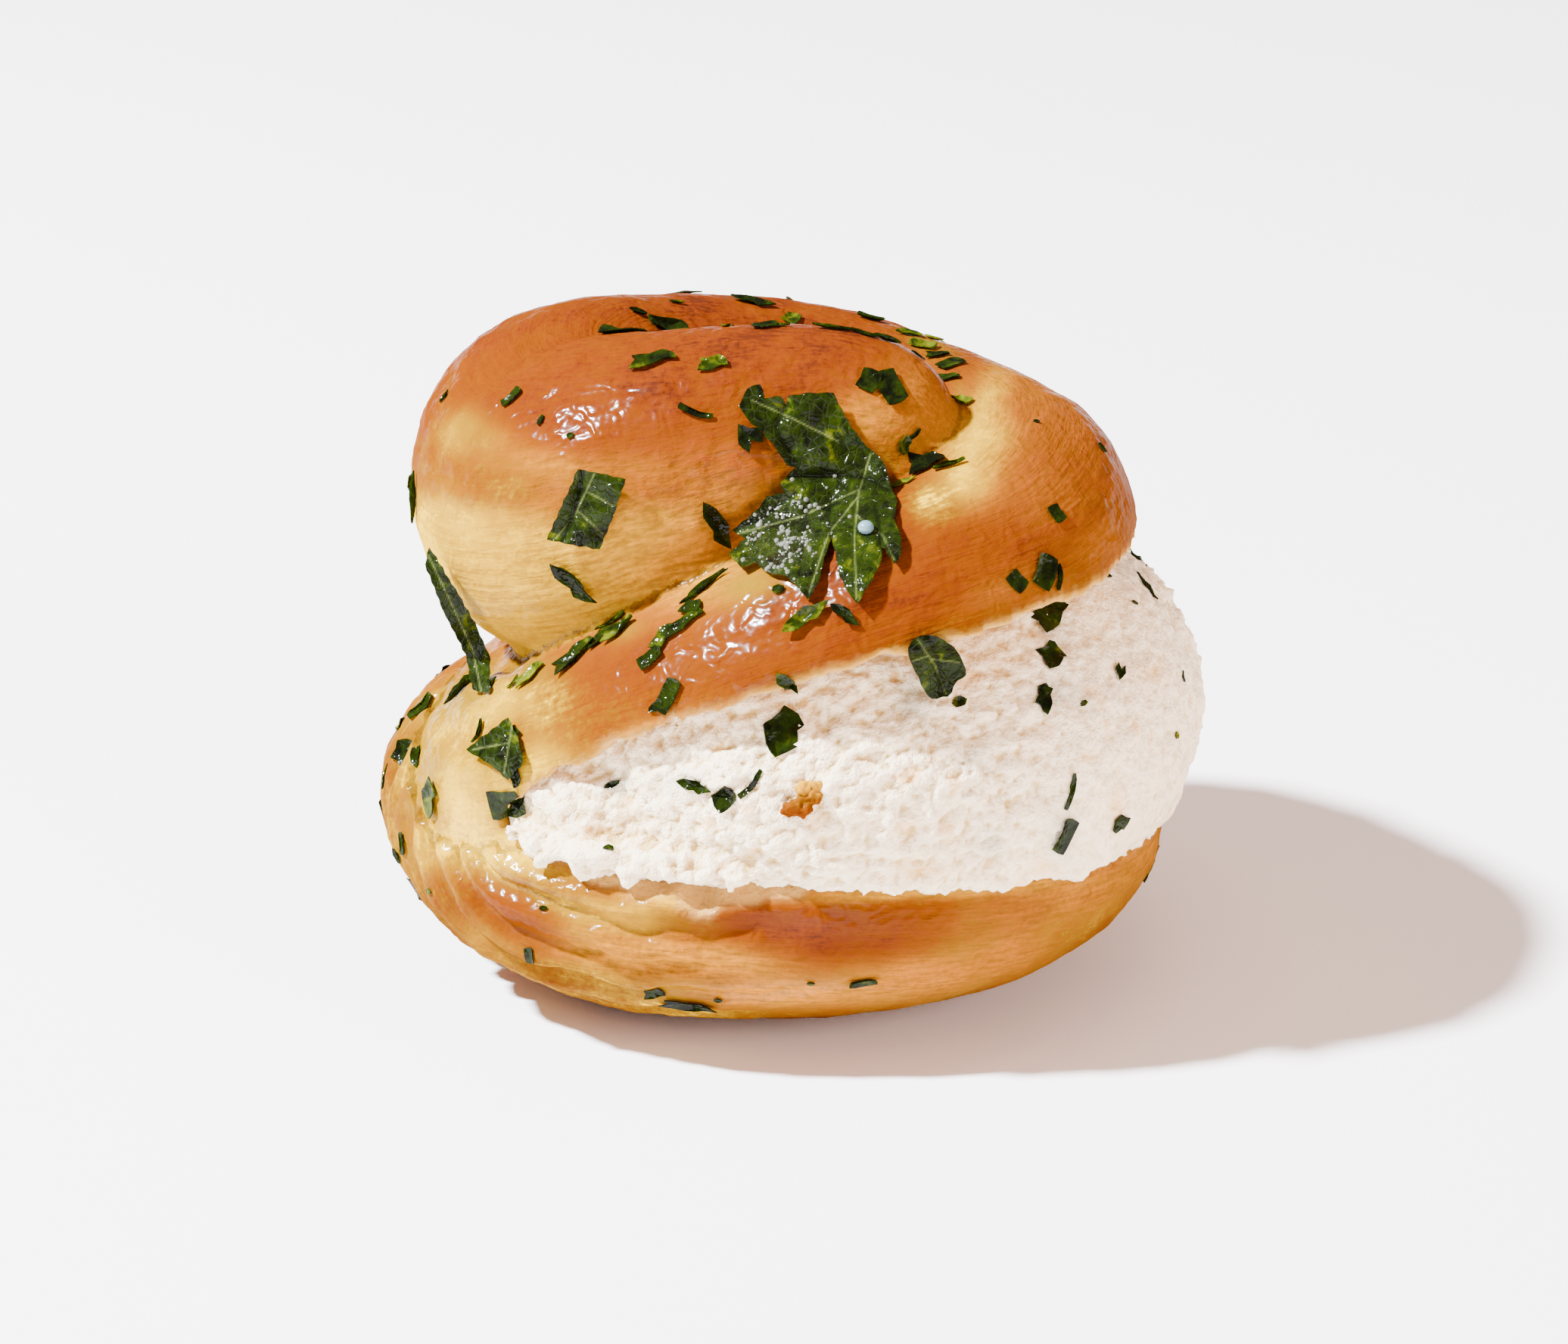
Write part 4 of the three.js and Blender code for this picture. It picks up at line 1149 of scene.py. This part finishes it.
# across, up, length, width, turn, shape and how yellow, where each shows in the photograph
seenFlakes = {
    "onCrust": [
        (-2.9, 34.2, 4.4, 1.7, -25, 1, 0.3), (-4, 34.7, 1.6, 0.9, 60, 2, 0.3), (-11, 32, 4.3, 1.6, 28, 0, 0.25),
        (-13.6, 33.3, 1.8, 0.7, 5, 6, 0.3), (-10, 34.2, 1.4, 0.6, 10, 6, 0.4), (-12.2, 28.9, 4.2, 1.7, 12, 5, 0.35),
        (-6.6, 28.5, 2.7, 1.6, 5, 5, 0.6), (-1.8, 32, 2.3, 1.2, 0, 0, 0.35), (0.7, 32.7, 1.9, 1.6, 70, 0, 0.5),
        (-0.3, 32.1, 1.6, 0.8, 30, 2, 0.5), (-25.1, 25.4, 2.2, 1.2, 35, 0, 0.3),
        (-22.5, 23.3, 1.1, 0.6, 80, 6, 0.3), (-19.8, 21.9, 0.7, 0.6, 0, 6, 0.3), (-8.2, 24, 3.2, 0.8, -20, 2, 0.2),
        (-3.3, 21.9, 2.7, 2.3, -60, 4, 0.1), (7.9, 27, 2.3, 1.9, 70, 0, 0.2), (9.8, 26.4, 3.4, 2.3, -70, 0, 0.12),
        (8, 32.7, 2.7, 1, -12, 0, 0.45), (10.8, 32.5, 2.1, 1.2, 10, 1, 0.9), (5.1, 31.7, 4.2, 0.7, -8, 2, 0.3),
        (7.7, 31.2, 3.1, 0.8, -15, 2, 0.2), (9.5, 30.7, 2.6, 0.9, -20, 5, 0.4), (11.6, 31.3, 2.5, 1.6, -30, 5, 0.5),
        (12.9, 30.2, 2.6, 1.6, -50, 0, 0.7), (14.2, 29.3, 2.3, 1.6, 20, 5, 0.3),
        (15.5, 28.5, 2.6, 1.8, 70, 0, 0.25), (15.2, 27.2, 2.4, 1.6, -20, 5, 0.3),
        (15.8, 30.3, 2.1, 1.1, 50, 2, 0.45), (13.9, 30.8, 1.8, 1, -30, 2, 0.8), (16.5, 25, 2.4, 1.8, -65, 5, 0.75),
        (12.4, 29.3, 1.6, 0.9, 30, 6, 0.2), (11.1, 21.1, 1.9, 1.2, 80, 1, 0.25), (12, 22, 1.6, 0.5, 35, 2, 0.2),
        (13.2, 19.2, 3.4, 2.3, 15, 5, 0.05), (15.4, 19.1, 2.9, 0.7, 25, 2, 0.35),
        (11.1, 17.5, 2.4, 0.9, 10, 1, 0.9), (-19.4, 8.4, 5.4, 1.8, -52, 1, 0.25),
        (-6.2, 13.7, 5.4, 1.8, -62, 1, 0.2), (-7.3, 7.7, 5.2, 1, 48, 3, 0.35), (-8.4, 5.9, 2.4, 1.6, -30, 5, 0.3),
        (-9.2, 4.5, 4.2, 1.4, 20, 5, 0.35), (-11.3, 3.1, 3.1, 1.5, 70, 5, 0.4), (-12.3, 1.2, 2.4, 1.4, 35, 0, 0.3),
        (-15.2, 3.8, 3.6, 1.6, 25, 5, 0.5), (-17, 3.1, 3.1, 1.6, 60, 5, 0.45), (-19.3, 1.2, 4.7, 2.1, 50, 5, 0.45),
        (-15.9, 4.6, 3.1, 0.7, 12, 2, 0.4), (2.2, 5, 4.8, 1.7, 32, 1, 0.55), (5.7, 5.3, 3.2, 1.1, -38, 1, 0.15),
        (-0.5, 7.6, 1.1, 0.9, 0, 6, 0.3), (-10.7, -2.2, 3.2, 1.6, 60, 0, 0.2), (-11.8, -3.2, 1.6, 0.8, 30, 6, 0.2),
        (-23.5, -0.4, 3.3, 1.7, 50, 5, 0.85), (-24.9, -1, 1.6, 0.8, 20, 2, 0.7), (0.3, -1, 2.6, 1.4, -50, 1, 0.5),
        (25.2, 14.6, 1.7, 1.5, -60, 0, 0.2), (29.4, 20.7, 1.1, 0.6, -40, 6, 0.3), (23.4, 23.2, 0.6, 0.5, 0, 6, 0.3),
        (21.6, 8.4, 1.9, 1.5, -40, 0, 0.15), (24.1, 9.3, 3.1, 2.1, 65, 0, 0.35), (25.4, 8.8, 2.3, 0.6, 85, 2, 0.2),
        (-35.2, -7.5, 2.7, 2.3, 60, 5, 0.2), (-34, -8, 2.1, 1.2, -70, 2, 0.3),
        (-32.7, -11.6, 4.1, 2.3, 62, 1, 0.45), (-28.1, -5.5, 2.3, 0.7, 75, 2, 0.3),
        (-25.4, -6.3, 2.6, 2.3, 45, 5, 0.25), (-24.9, -9.3, 2.7, 1.2, -80, 5, 0.2),
        (-25.8, -12.3, 3.2, 2.9, 20, 0, 0.3), (-29.8, -1.6, 4.2, 1.2, 28, 3, 0.25),
        (-33.6, -3.2, 3.1, 1.4, 38, 2, 0.35), (-27, -1.1, 1.4, 0.6, 50, 6, 0.4),
        (-23.6, -26.3, 1.5, 0.9, 90, 0, 0.25), (7.3, -28.6, 2.5, 0.9, 0, 0, 0.3),
        (-12, -29.8, 2.2, 0.9, 15, 5, 0.3), (-8.9, -30.8, 5.2, 1.1, -2, 5, 0.1), (-6.1, -30.4, 0.8, 0.4, 0, 6, 0.3),
        (2.5, -28.8, 0.7, 0.4, 0, 6, 0.3), (-35.9, -17, 1.6, 0.6, -75, 6, 0.25),
        (-34.1, -20.6, 1.4, 0.6, -70, 6, 0.2), (-32.4, -22.7, 3.3, 1.1, -48, 2, 0.2),
        (-32.9, -20.3, 0.8, 0.5, 0, 6, 0.5), (-34.1, 16.3, 4.7, 0.6, 85, 2, 0.2),
        (-31.4, 25.5, 1.4, 0.5, 60, 6, 0.2), (-35.4, -15.9, 2.1, 0.7, 85, 2, 0.3),
        (-22.3, -22, 0.7, 0.5, 0, 6, 0.3),
    ],
    "onRicotta": [
        (-0.5, -5.5, 4.5, 3, 72, 1, 0.25), (-8.4, -10.5, 3.1, 1.1, -14, 1, 0.3),
        (-5.3, -11.4, 2.2, 1.8, 45, 0, 0.3), (-2.9, -10.3, 2.7, 0.8, 50, 2, 0.25),
        (-15.8, -10.4, 1.6, 0.6, 20, 6, 0.2), (24.6, 5.3, 3.8, 2.4, 60, 5, 0.3), (24.7, 1.5, 2.7, 2.4, 35, 5, 0.35),
        (24.1, -2.5, 2.3, 1.7, 70, 5, 0.25), (27.7, -2.9, 0.8, 0.5, 30, 6, 0.4), (16.4, -2.7, 1.1, 1, 0, 6, 0.6),
        (31.1, -0.1, 2, 1.1, 65, 4, 0.3), (32.8, 10.5, 1.8, 0.9, -30, 5, 0.25), (33.6, 7.9, 3.1, 1.1, -52, 1, 0.35),
        (36.9, -0.4, 1.1, 0.5, -70, 6, 0.25), (36.3, -5.9, 0.7, 0.7, 0, 6, 0.9),
        (26.5, -11.1, 3.2, 0.7, 80, 2, 0.3), (26, -15.1, 3.3, 1.6, 75, 0, 0.2), (31.1, -14, 2.4, 1.8, 5, 1, 0.35),
        (28, 9.7, 1.2, 0.8, 0, 6, 0.3), (29.8, 9, 1.1, 0.7, 0, 6, 0.5), (32.5, 6.4, 0.7, 0.5, 0, 6, 0.4),
        (-16.3, -16.4, 1, 0.5, 20, 6, 0.3),
    ],
}
flakeOutlines = [  # in a unit square: cut piece, leaf tip, shred, lobed piece, split tip, ragged piece, crumb
    [(-0.5, -0.38), (-0.1, -0.5), (0.46, -0.42), (0.5, 0.06), (0.42, 0.46), (-0.08, 0.42), (-0.44, 0.5)],
    [(-0.5, -0.05), (-0.28, -0.4), (0.02, -0.3), (0.16, -0.5), (0.5, 0.02), (0.2, 0.28), (0.06, 0.5), (-0.3, 0.36)],
    [(-0.5, -0.2), (-0.2, -0.42), (0.15, -0.5), (0.5, -0.1), (0.46, 0.36), (0.1, 0.12), (-0.2, 0.2), (-0.48, 0.5)],
    [(-0.5, -0.3), (-0.16, -0.22), (0.02, -0.5), (0.22, -0.18), (0.5, -0.24), (0.36, 0.1), (0.46, 0.44),
    (0.04, 0.3),
     (-0.24, 0.5), (-0.3, 0.12)],
    [(-0.5, -0.12), (0.08, -0.5), (0.5, -0.3), (0.16, -0.02), (0.42, 0.36), (-0.06, 0.5), (-0.2, 0.16)],
    [(-0.5, -0.42), (-0.05, -0.5), (0.28, -0.3), (0.5, -0.34), (0.46, 0.14), (0.24, 0.5), (-0.02, 0.36),
    (-0.4, 0.46),
     (-0.34, 0.1)],
    [(-0.5, -0.1), (-0.1, -0.5), (0.42, -0.3), (0.5, 0.2), (0.02, 0.5), (-0.38, 0.34)],
]
flakeSizes = {
    "Thickness": 0.12, "Gap": 0.03, "Least Gap": 5.2, "Density": 0.9, "Shortest": 1.5, "Longest": 4.4, "Seed": 5,
}


def flakeObject(index):
    # One flake: rings from its middle to its edge, top and underside, with how far out each point is
    corners = []
    outline = flakeOutlines[index]
    for i, (x, y) in enumerate(outline):
        nextX, nextY = outline[(i + 1) % len(outline)]
        corners += [(x, y), ((x + nextX) / 2 + 0.03 * (nextY - y), (y + nextY) / 2 - 0.03 * (nextX - x))]
    n, rings = len(corners), 3
    points, share, top = [], [], []
    for side in (1, 0):
        points.append((0, 0, 0))
        share.append(0)
        top.append(side)
        for r in range(1, rings + 1):
            points += [(x * r / rings, y * r / rings, 0) for x, y in corners]
            share += [r / rings] * n
            top += [side] * n
    half = 1 + rings * n
    faces = []
    for j in range(n):
        k = (j + 1) % n
        faces += [(0, 1 + j, 1 + k), (half, half + 1 + k, half + 1 + j)]
        for r in range(rings - 1):
            a, b = 1 + r * n + j, 1 + r * n + k
            faces += [(a, a + n, b + n, b), (half + a, half + b, half + b + n, half + a + n)]
        a, b = 1 + (rings - 1) * n + j, 1 + (rings - 1) * n + k
        faces.append((b, a, half + a, half + b))
    thing = meshObject("flake" + str(index), points, faces)
    addFloats(thing.data, "share", share)
    addFloats(thing.data, "topSide", top)
    return thing


def flakePoints(name, tree):
    # A bare point for each flake that shows, with the way out of the surface and the way along the flake
    rows = []
    for across, up, long, wide, turn, shape, yellow in seenFlakes[name]:
        at, normal = seenAt(tree, across, up)
        if at is None:
            continue
        out = np.array(normal)
        if out @ sightAhead > 0:
            out = -out
        angle = math.radians(turn)
        along = np.array((1, 0, 0)) * math.cos(angle) + sightUp * math.sin(angle)
        along = along - out * (along @ out)
        rows.append((np.array(at), out, along / max(np.linalg.norm(along), 1e-6), (long, wide, 1), shape, yellow,
                     chance.uniform(0.05, 0.12) * long))
    thing = meshObject(name, [r[0] for r in rows], [])
    addVectors(thing.data, "out", [r[1] for r in rows])
    addVectors(thing.data, "along", [r[2] for r in rows])
    addVectors(thing.data, "flakeSize", [r[3] for r in rows])
    addFloats(thing.data, "shape", [r[4] for r in rows])
    addFloats(thing.data, "yellow", [r[5] for r in rows])
    addFloats(thing.data, "curl", [r[6] for r in rows])
    return thing


def flakeTree(carrier, shapes, material):
    # Puts a flake on each point and on more points where the carrier is out of the photograph's sight,
    # then lays every flake on the carrier and curls its edge
    tree, given = geometryTree("flakeScatter", flakeSizes)
    value = namedIn(tree, "FLOAT", "behind", "shape", "share", "curl", "topSide")
    way = namedIn(tree, "FLOAT_VECTOR", "out", "along", "flakeSize")
    target = addNode(tree, "GeometryNodeObjectInfo", {"Object": carrier}, transform_space="ORIGINAL")
    target = target.outputs["Geometry"]
    spread = scatteredOn(tree, given, target, value["behind"])
    drawn = {}
    ranges = {
        "along": ((-1, -1, -1), (1, 1, 1)), "long": (given["Shortest"], given["Longest"]), "wide": (0.35, 0.75),
        "shape": (0, len(flakeOutlines) - 0.01), "yellow": (0.1, 0.6), "curl": (0.1, 0.4),
    }
    for shift, (name, (low, high)) in enumerate(ranges.items(), 1):
        kind, first, output = ("FLOAT_VECTOR", 0, 0) if name == "along" else ("FLOAT", 2, 1)
        inputs = {first: low, first + 1: high, "Seed": ("ADD", given["Seed"], shift)}
        drawn[name] = addNode(tree, "FunctionNodeRandomValue", inputs, data_type=kind).outputs[output]
    wide = ("MULTIPLY", drawn["long"], drawn["wide"])
    drawn["out"] = spread.outputs["Normal"]
    drawn["flakeSize"] = addNode(tree, "ShaderNodeCombineXYZ", {0: drawn["long"], 1: wide, 2: 1})
    behind = spread
    for name in ("out", "along", "flakeSize", "shape", "yellow", "curl"):
        inputs = {"Geometry": behind, "Name": name, "Value": drawn[name]}
        behind = addNode(tree, "GeometryNodeStoreNamedAttribute", inputs, domain="POINT",
                         data_type="FLOAT_VECTOR" if name in way else "FLOAT")
    shown = addNode(tree, "GeometryNodeMeshToPoints", {"Mesh": given["Geometry"]})
    every = addNode(tree, "GeometryNodeJoinGeometry")
    tree.links.new(behind.outputs[0], every.inputs[0])
    tree.links.new(shown.outputs[0], every.inputs[0])
    turned = addNode(tree, "FunctionNodeAxesToRotation", {0: way["out"], 1: way["along"]}, primary_axis="Z",
                     secondary_axis="X")
    kinds = addNode(tree, "GeometryNodeCollectionInfo", {"Collection": shapes, "Separate Children": True,
                    "Reset Children": True})
    whole = addNode(tree, "FunctionNodeFloatToInt", {0: value["shape"]}, rounding_mode="FLOOR")
    placed = addNode(tree, "GeometryNodeInstanceOnPoints", {
        "Points": every, "Instance": kinds, "Pick Instance": True, "Instance Index": whole, "Rotation": turned,
        "Scale": way["flakeSize"],
    })
    real = addNode(tree, "GeometryNodeRealizeInstances", {0: placed})
    place = addNode(tree, "GeometryNodeInputPosition")
    above, down = [addNode(tree, "ShaderNodeVectorMath", {0: way["out"], "Scale": reach}, operation="SCALE")
                   for reach in (3, -1)]
    start = addNode(tree, "ShaderNodeVectorMath", {0: place, 1: above}, operation="ADD")
    ray = addNode(tree, "GeometryNodeRaycast", {
        "Target Geometry": target, "Source Position": start, "Ray Direction": down, "Ray Length": 6,
    })
    height = addNode(tree, "ShaderNodeClamp", {0: ("SUBTRACT", 3, ray.outputs["Hit Distance"]), 1: -0.8, 2: 0.8})
    ripple = addNode(tree, "ShaderNodeTexNoise", {"Vector": place, "Scale": 0.6, "Detail": 1})
    curl = ("MULTIPLY", ("MULTIPLY", value["share"], value["share"]), value["curl"])
    lift = total(("MULTIPLY", height, ray.outputs["Is Hit"]), given["Gap"],
                 ("MULTIPLY", curl, ("MULTIPLY", ripple, 2)), ("MULTIPLY", value["topSide"], given["Thickness"]))
    return dressedIn(tree, movedAlong(tree, real, way["out"], lift), material)


def hiddenShare(mesh, low):
    # 1 where the photograph can't see the surface, 0 where it can, for scattering by rule
    spots, outward = pointsOf(mesh), normalsOf(mesh)
    facing = outward @ -sightAhead
    away = step(0.05, -0.15, facing)
    away *= step(-0.8, -0.45, outward[:, 2]) * step(low, low + 3, spots[:, 2])
    aboveFloor, belowRoof, flat = slitDepth(spots)
    inside = (aboveFloor > -0.6) & (belowRoof > -0.8) & (flat > slit["hingeX"])
    return away, inside


leafMaterial = parsleyMaterial("wetParsleyLeaf", True)
flakeMaterial = parsleyMaterial("choppedParsley", False)
flakeShapes = bpy.data.collections.new("flakeShapes")
for index in range(len(flakeOutlines)):
    shape = flakeObject(index)
    bpy.context.scene.collection.objects.unlink(shape)
    flakeShapes.objects.link(shape)
away, inside = hiddenShare(bun.data, 4)
addFloats(bun.data, "behind", away * ~inside)
away, inside = hiddenShare(ricotta.data, 20)
addFloats(ricotta.data, "behind", 0.5 * away * inside)
crustFlakes = flakePoints("onCrust", bunTree)
runTree(crustFlakes, flakeTree(bun, flakeShapes, flakeMaterial), flakeSizes)
curdFlakes = flakePoints("onRicotta", ricottaTree)
runTree(curdFlakes, flakeTree(ricotta, flakeShapes, flakeMaterial), dict(flakeSizes, Seed=8))
for shape in list(flakeShapes.objects):
    bpy.data.objects.remove(shape)
bpy.data.collections.remove(flakeShapes)
print("flakes scattered:", len(crustFlakes.data.polygons), "and", len(curdFlakes.data.polygons), "faces")


# Tiny bubbles where the large leaf lies in the wet
frothSizes = {
    "Radius": 0.13, "Smallest": 0.4, "Largest": 1.9, "Least Gap": 0.12, "Density": 14.0, "Patch Size": 1.3, "Seed": 3,
}


def frothMaterial():
    # Bubbles of oil and whey, milky and wet
    return surfaced(newMaterial("oilAndWheyFroth")[0], {
        "Base Color": "#a8ae9c", "Roughness": 0.12, "IOR": 1.34, "Transmission Weight": 0.75, "Coat Weight": 1,
        "Coat Roughness": 0.08,
    })


def frothTree(carrier, material):
    # Bubbles of many sizes, crowded where the leaf lies in the wet
    tree, given = geometryTree("frothScatter", frothSizes)
    target = addNode(tree, "GeometryNodeObjectInfo", {"Object": carrier}, transform_space="ORIGINAL")
    target = target.outputs["Geometry"]
    place = addNode(tree, "GeometryNodeInputPosition")
    patch = {"Vector": place, "Scale": ("DIVIDE", 1.0, given["Patch Size"]), "Detail": 1}
    patch = addNode(tree, "ShaderNodeTexNoise", patch)
    patchy = addNode(tree, "ShaderNodeMapRange", {0: patch, 1: 0.5, 2: 0.62, 3: 0.02, 4: 1})
    crowded = addNode(tree, "ShaderNodeMath", {0: namedIn(tree, "FLOAT", "frothOver")["frothOver"], 1: patchy},
                      operation="MULTIPLY")
    spread = scatteredOn(tree, given, target, crowded)
    bubble = addNode(tree, "GeometryNodeMeshIcoSphere", {"Radius": given["Radius"], "Subdivisions": 3})
    size = {2: given["Smallest"], 3: given["Largest"], "Seed": given["Seed"]}
    size = addNode(tree, "FunctionNodeRandomValue", size, data_type="FLOAT")
    placed = addNode(tree, "GeometryNodeInstanceOnPoints", {"Points": spread, "Instance": bubble,
                     "Scale": size.outputs[1]})
    return dressedIn(tree, addNode(tree, "GeometryNodeRealizeInstances", {0: placed}), material)


froth = meshObject("froth", [(0, 0, 0)], [])
bubbleMaterial = frothMaterial()
runTree(froth, frothTree(leaves["leaf_folded"], bubbleMaterial), frothSizes)
print("froth scattered:", len(froth.data.polygons), "faces")


# A stray crumb on the filling and a drop on the leaf, across and up as the photograph shows them
stray = {
    "at": (1.6, -12.4), "grain": 0.13,
    "lumps": [(0, 0, 1.25), (1, 0.7, 0.85), (-0.9, -0.4, 0.8), (0.2, 1.5, 0.7), (1.3, 1.9, 0.5)],
}
drop = {"at": (7.7, 13.1), "half": (0.7, 0.7, 0.6)}


def shapeStray():
    # A torn bit of crust, stuck to the filling
    things = []
    for du, dv, size in stray["lumps"]:
        at, normal = seenAt(ricottaTree, stray["at"][0] + du, stray["at"][1] + dv)
        at = np.array(at) + 0.25 * size * np.array(normal)
        things.append(massObject({"at": at, "half": (size, size * 0.8, size * 0.75), "power": 2}, 24))
    crumb = joinAll(things)
    withModifier(crumb, "REMESH", mode="VOXEL", voxel_size=stray["grain"])
    mesh = crumb.data
    p, out = pointsOf(mesh), normalsOf(mesh)
    rough = np.array([noise.noise(Vector(q) * 1.1) + 0.6 * noise.noise(Vector(q) * 2.6) for q in p])
    movePoints(mesh, p + out * rough[:, None] * 0.5)
    across, up = viewOf(p)
    addFloats(mesh, "tone", 0.5 - 0.12 * (up - stray["at"][1]))
    addFloats(mesh, "tan", step(0.6, 1.6, up - stray["at"][1]))
    return crumb


def dropMaterial():
    # A milky drop of whey and water
    return surfaced(newMaterial("wheyDrop")[0], {
        "Base Color": "#5f7f88", "Roughness": 0.3, "IOR": 1.34, "Coat Weight": 1, "Coat Roughness": 0.04,
    })


strayCrumb = shapeStray()
dropAt, dropOut = seenAt(treeOf(leaves["leaf_folded"]), *drop["at"])
leafDrop = massObject({"at": np.array(dropAt) + 0.4 * np.array(dropOut), "half": drop["half"], "power": 2}, 32)
print("crumb and drop placed")


# A small hard lamp from the left, a wide weak one from the right, a pale room and a paper floor
studio = {
    "lens": 100, "floorReach": 3,
    "floor": "#fdfafa", "sky": 0.85, "skyShine": 0.25, "skyColour": "#ffdcd0",
    "key": 8.1, "keyColour": "#f6faff", "keySize": 0.11, "keyAway": 1.5, "keyFrom": (-0.625, -0.149, 0.766),
    "fill": 1.35, "fillColour": "#ffdccb", "fillSize": 0.9, "fillAway": 1.6, "fillFrom": (0.74, -0.6, 0.34),
}


def floorMaterial():
    # Matt paper sweep, even and pale
    return surfaced(newMaterial("mattPaper")[0], {
        "Base Color": studio["floor"], "Roughness": 0.9, "Specular IOR Level": 0.2,
    })


def addLamp(name, colour):
    # A round soft lamp that looks at the bun; its strength is the light it gives a surface facing it
    lamp = bpy.data.lights.new(name, "AREA")
    lamp.shape = "DISK"
    lamp.size = studio[name + "Size"]
    lamp.color = linear(colour)[:3]
    lamp.energy = 10 * studio[name + "Away"] ** 2 * studio[name]
    holder = bpy.data.objects.new(name, lamp)
    toward = Vector(studio[name + "From"]).normalized()
    holder.location = toward * studio[name + "Away"]
    holder.rotation_euler = toward.to_track_quat("Z", "Y").to_euler()
    bpy.context.scene.collection.objects.link(holder)
    return holder


def buildStudio():
    far = studio["floorReach"]
    floor = meshObject("floor", [(-far, -far, 0), (far, -far, 0), (far, far, 0), (-far, far, 0)], [(0, 1, 2, 3)])
    floor.data.materials.append(floorMaterial())
    world = bpy.data.worlds.new("softRoom")
    bpy.context.scene.world = world
    world.use_nodes = True
    tree = world.node_tree
    path = addNode(tree, "ShaderNodeLightPath")
    sky = addNode(tree, "ShaderNodeMix", {0: path.outputs["Is Glossy Ray"], 2: studio["sky"], 3: studio["skyShine"]})
    tree.nodes["Background"].inputs[0].default_value = linear(studio["skyColour"])
    tree.links.new(sky.outputs[0], tree.nodes["Background"].inputs[1])
    addLamp("key", studio["keyColour"])
    fill = addLamp("fill", studio["fillColour"])
    fill.visible_glossy = False  # a flag that lifts the shade without its own shine
    camera = bpy.data.cameras.new("camera")
    camera.lens = studio["lens"]
    camera.sensor_width = 36
    holder = bpy.data.objects.new("camera", camera)
    holder.location = (Vector(eyeAt) - middle) * millimetre
    holder.rotation_euler = Vector(sightAhead).to_track_quat("-Z", "Y").to_euler()
    bpy.context.scene.collection.objects.link(holder)
    bpy.context.scene.camera = holder


crust = crustMaterial()
cheese = ricottaMaterial()
finishPiece(bun, "bunCrust", [crust], ["bun"])
finishPiece(crustFlakes, "crustFlakes", [flakeMaterial], ["bun"], True)
finishPiece(ricotta, "ricottaCurd", [cheese], ["ricotta"])
finishPiece(curdFlakes, "ricottaFlakes", [flakeMaterial], ["ricotta"], True)
for name, leaf in leaves.items():
    finishPiece(leaf, name + "Dressed", [leafMaterial], [name], True)
finishPiece(strayCrumb, "strayCrumb", [crust])
finishPiece(leafDrop, "leafDrop", [dropMaterial()])
finishPiece(froth, "leafFroth", [bubbleMaterial])
buildStudio()
print("scene set")
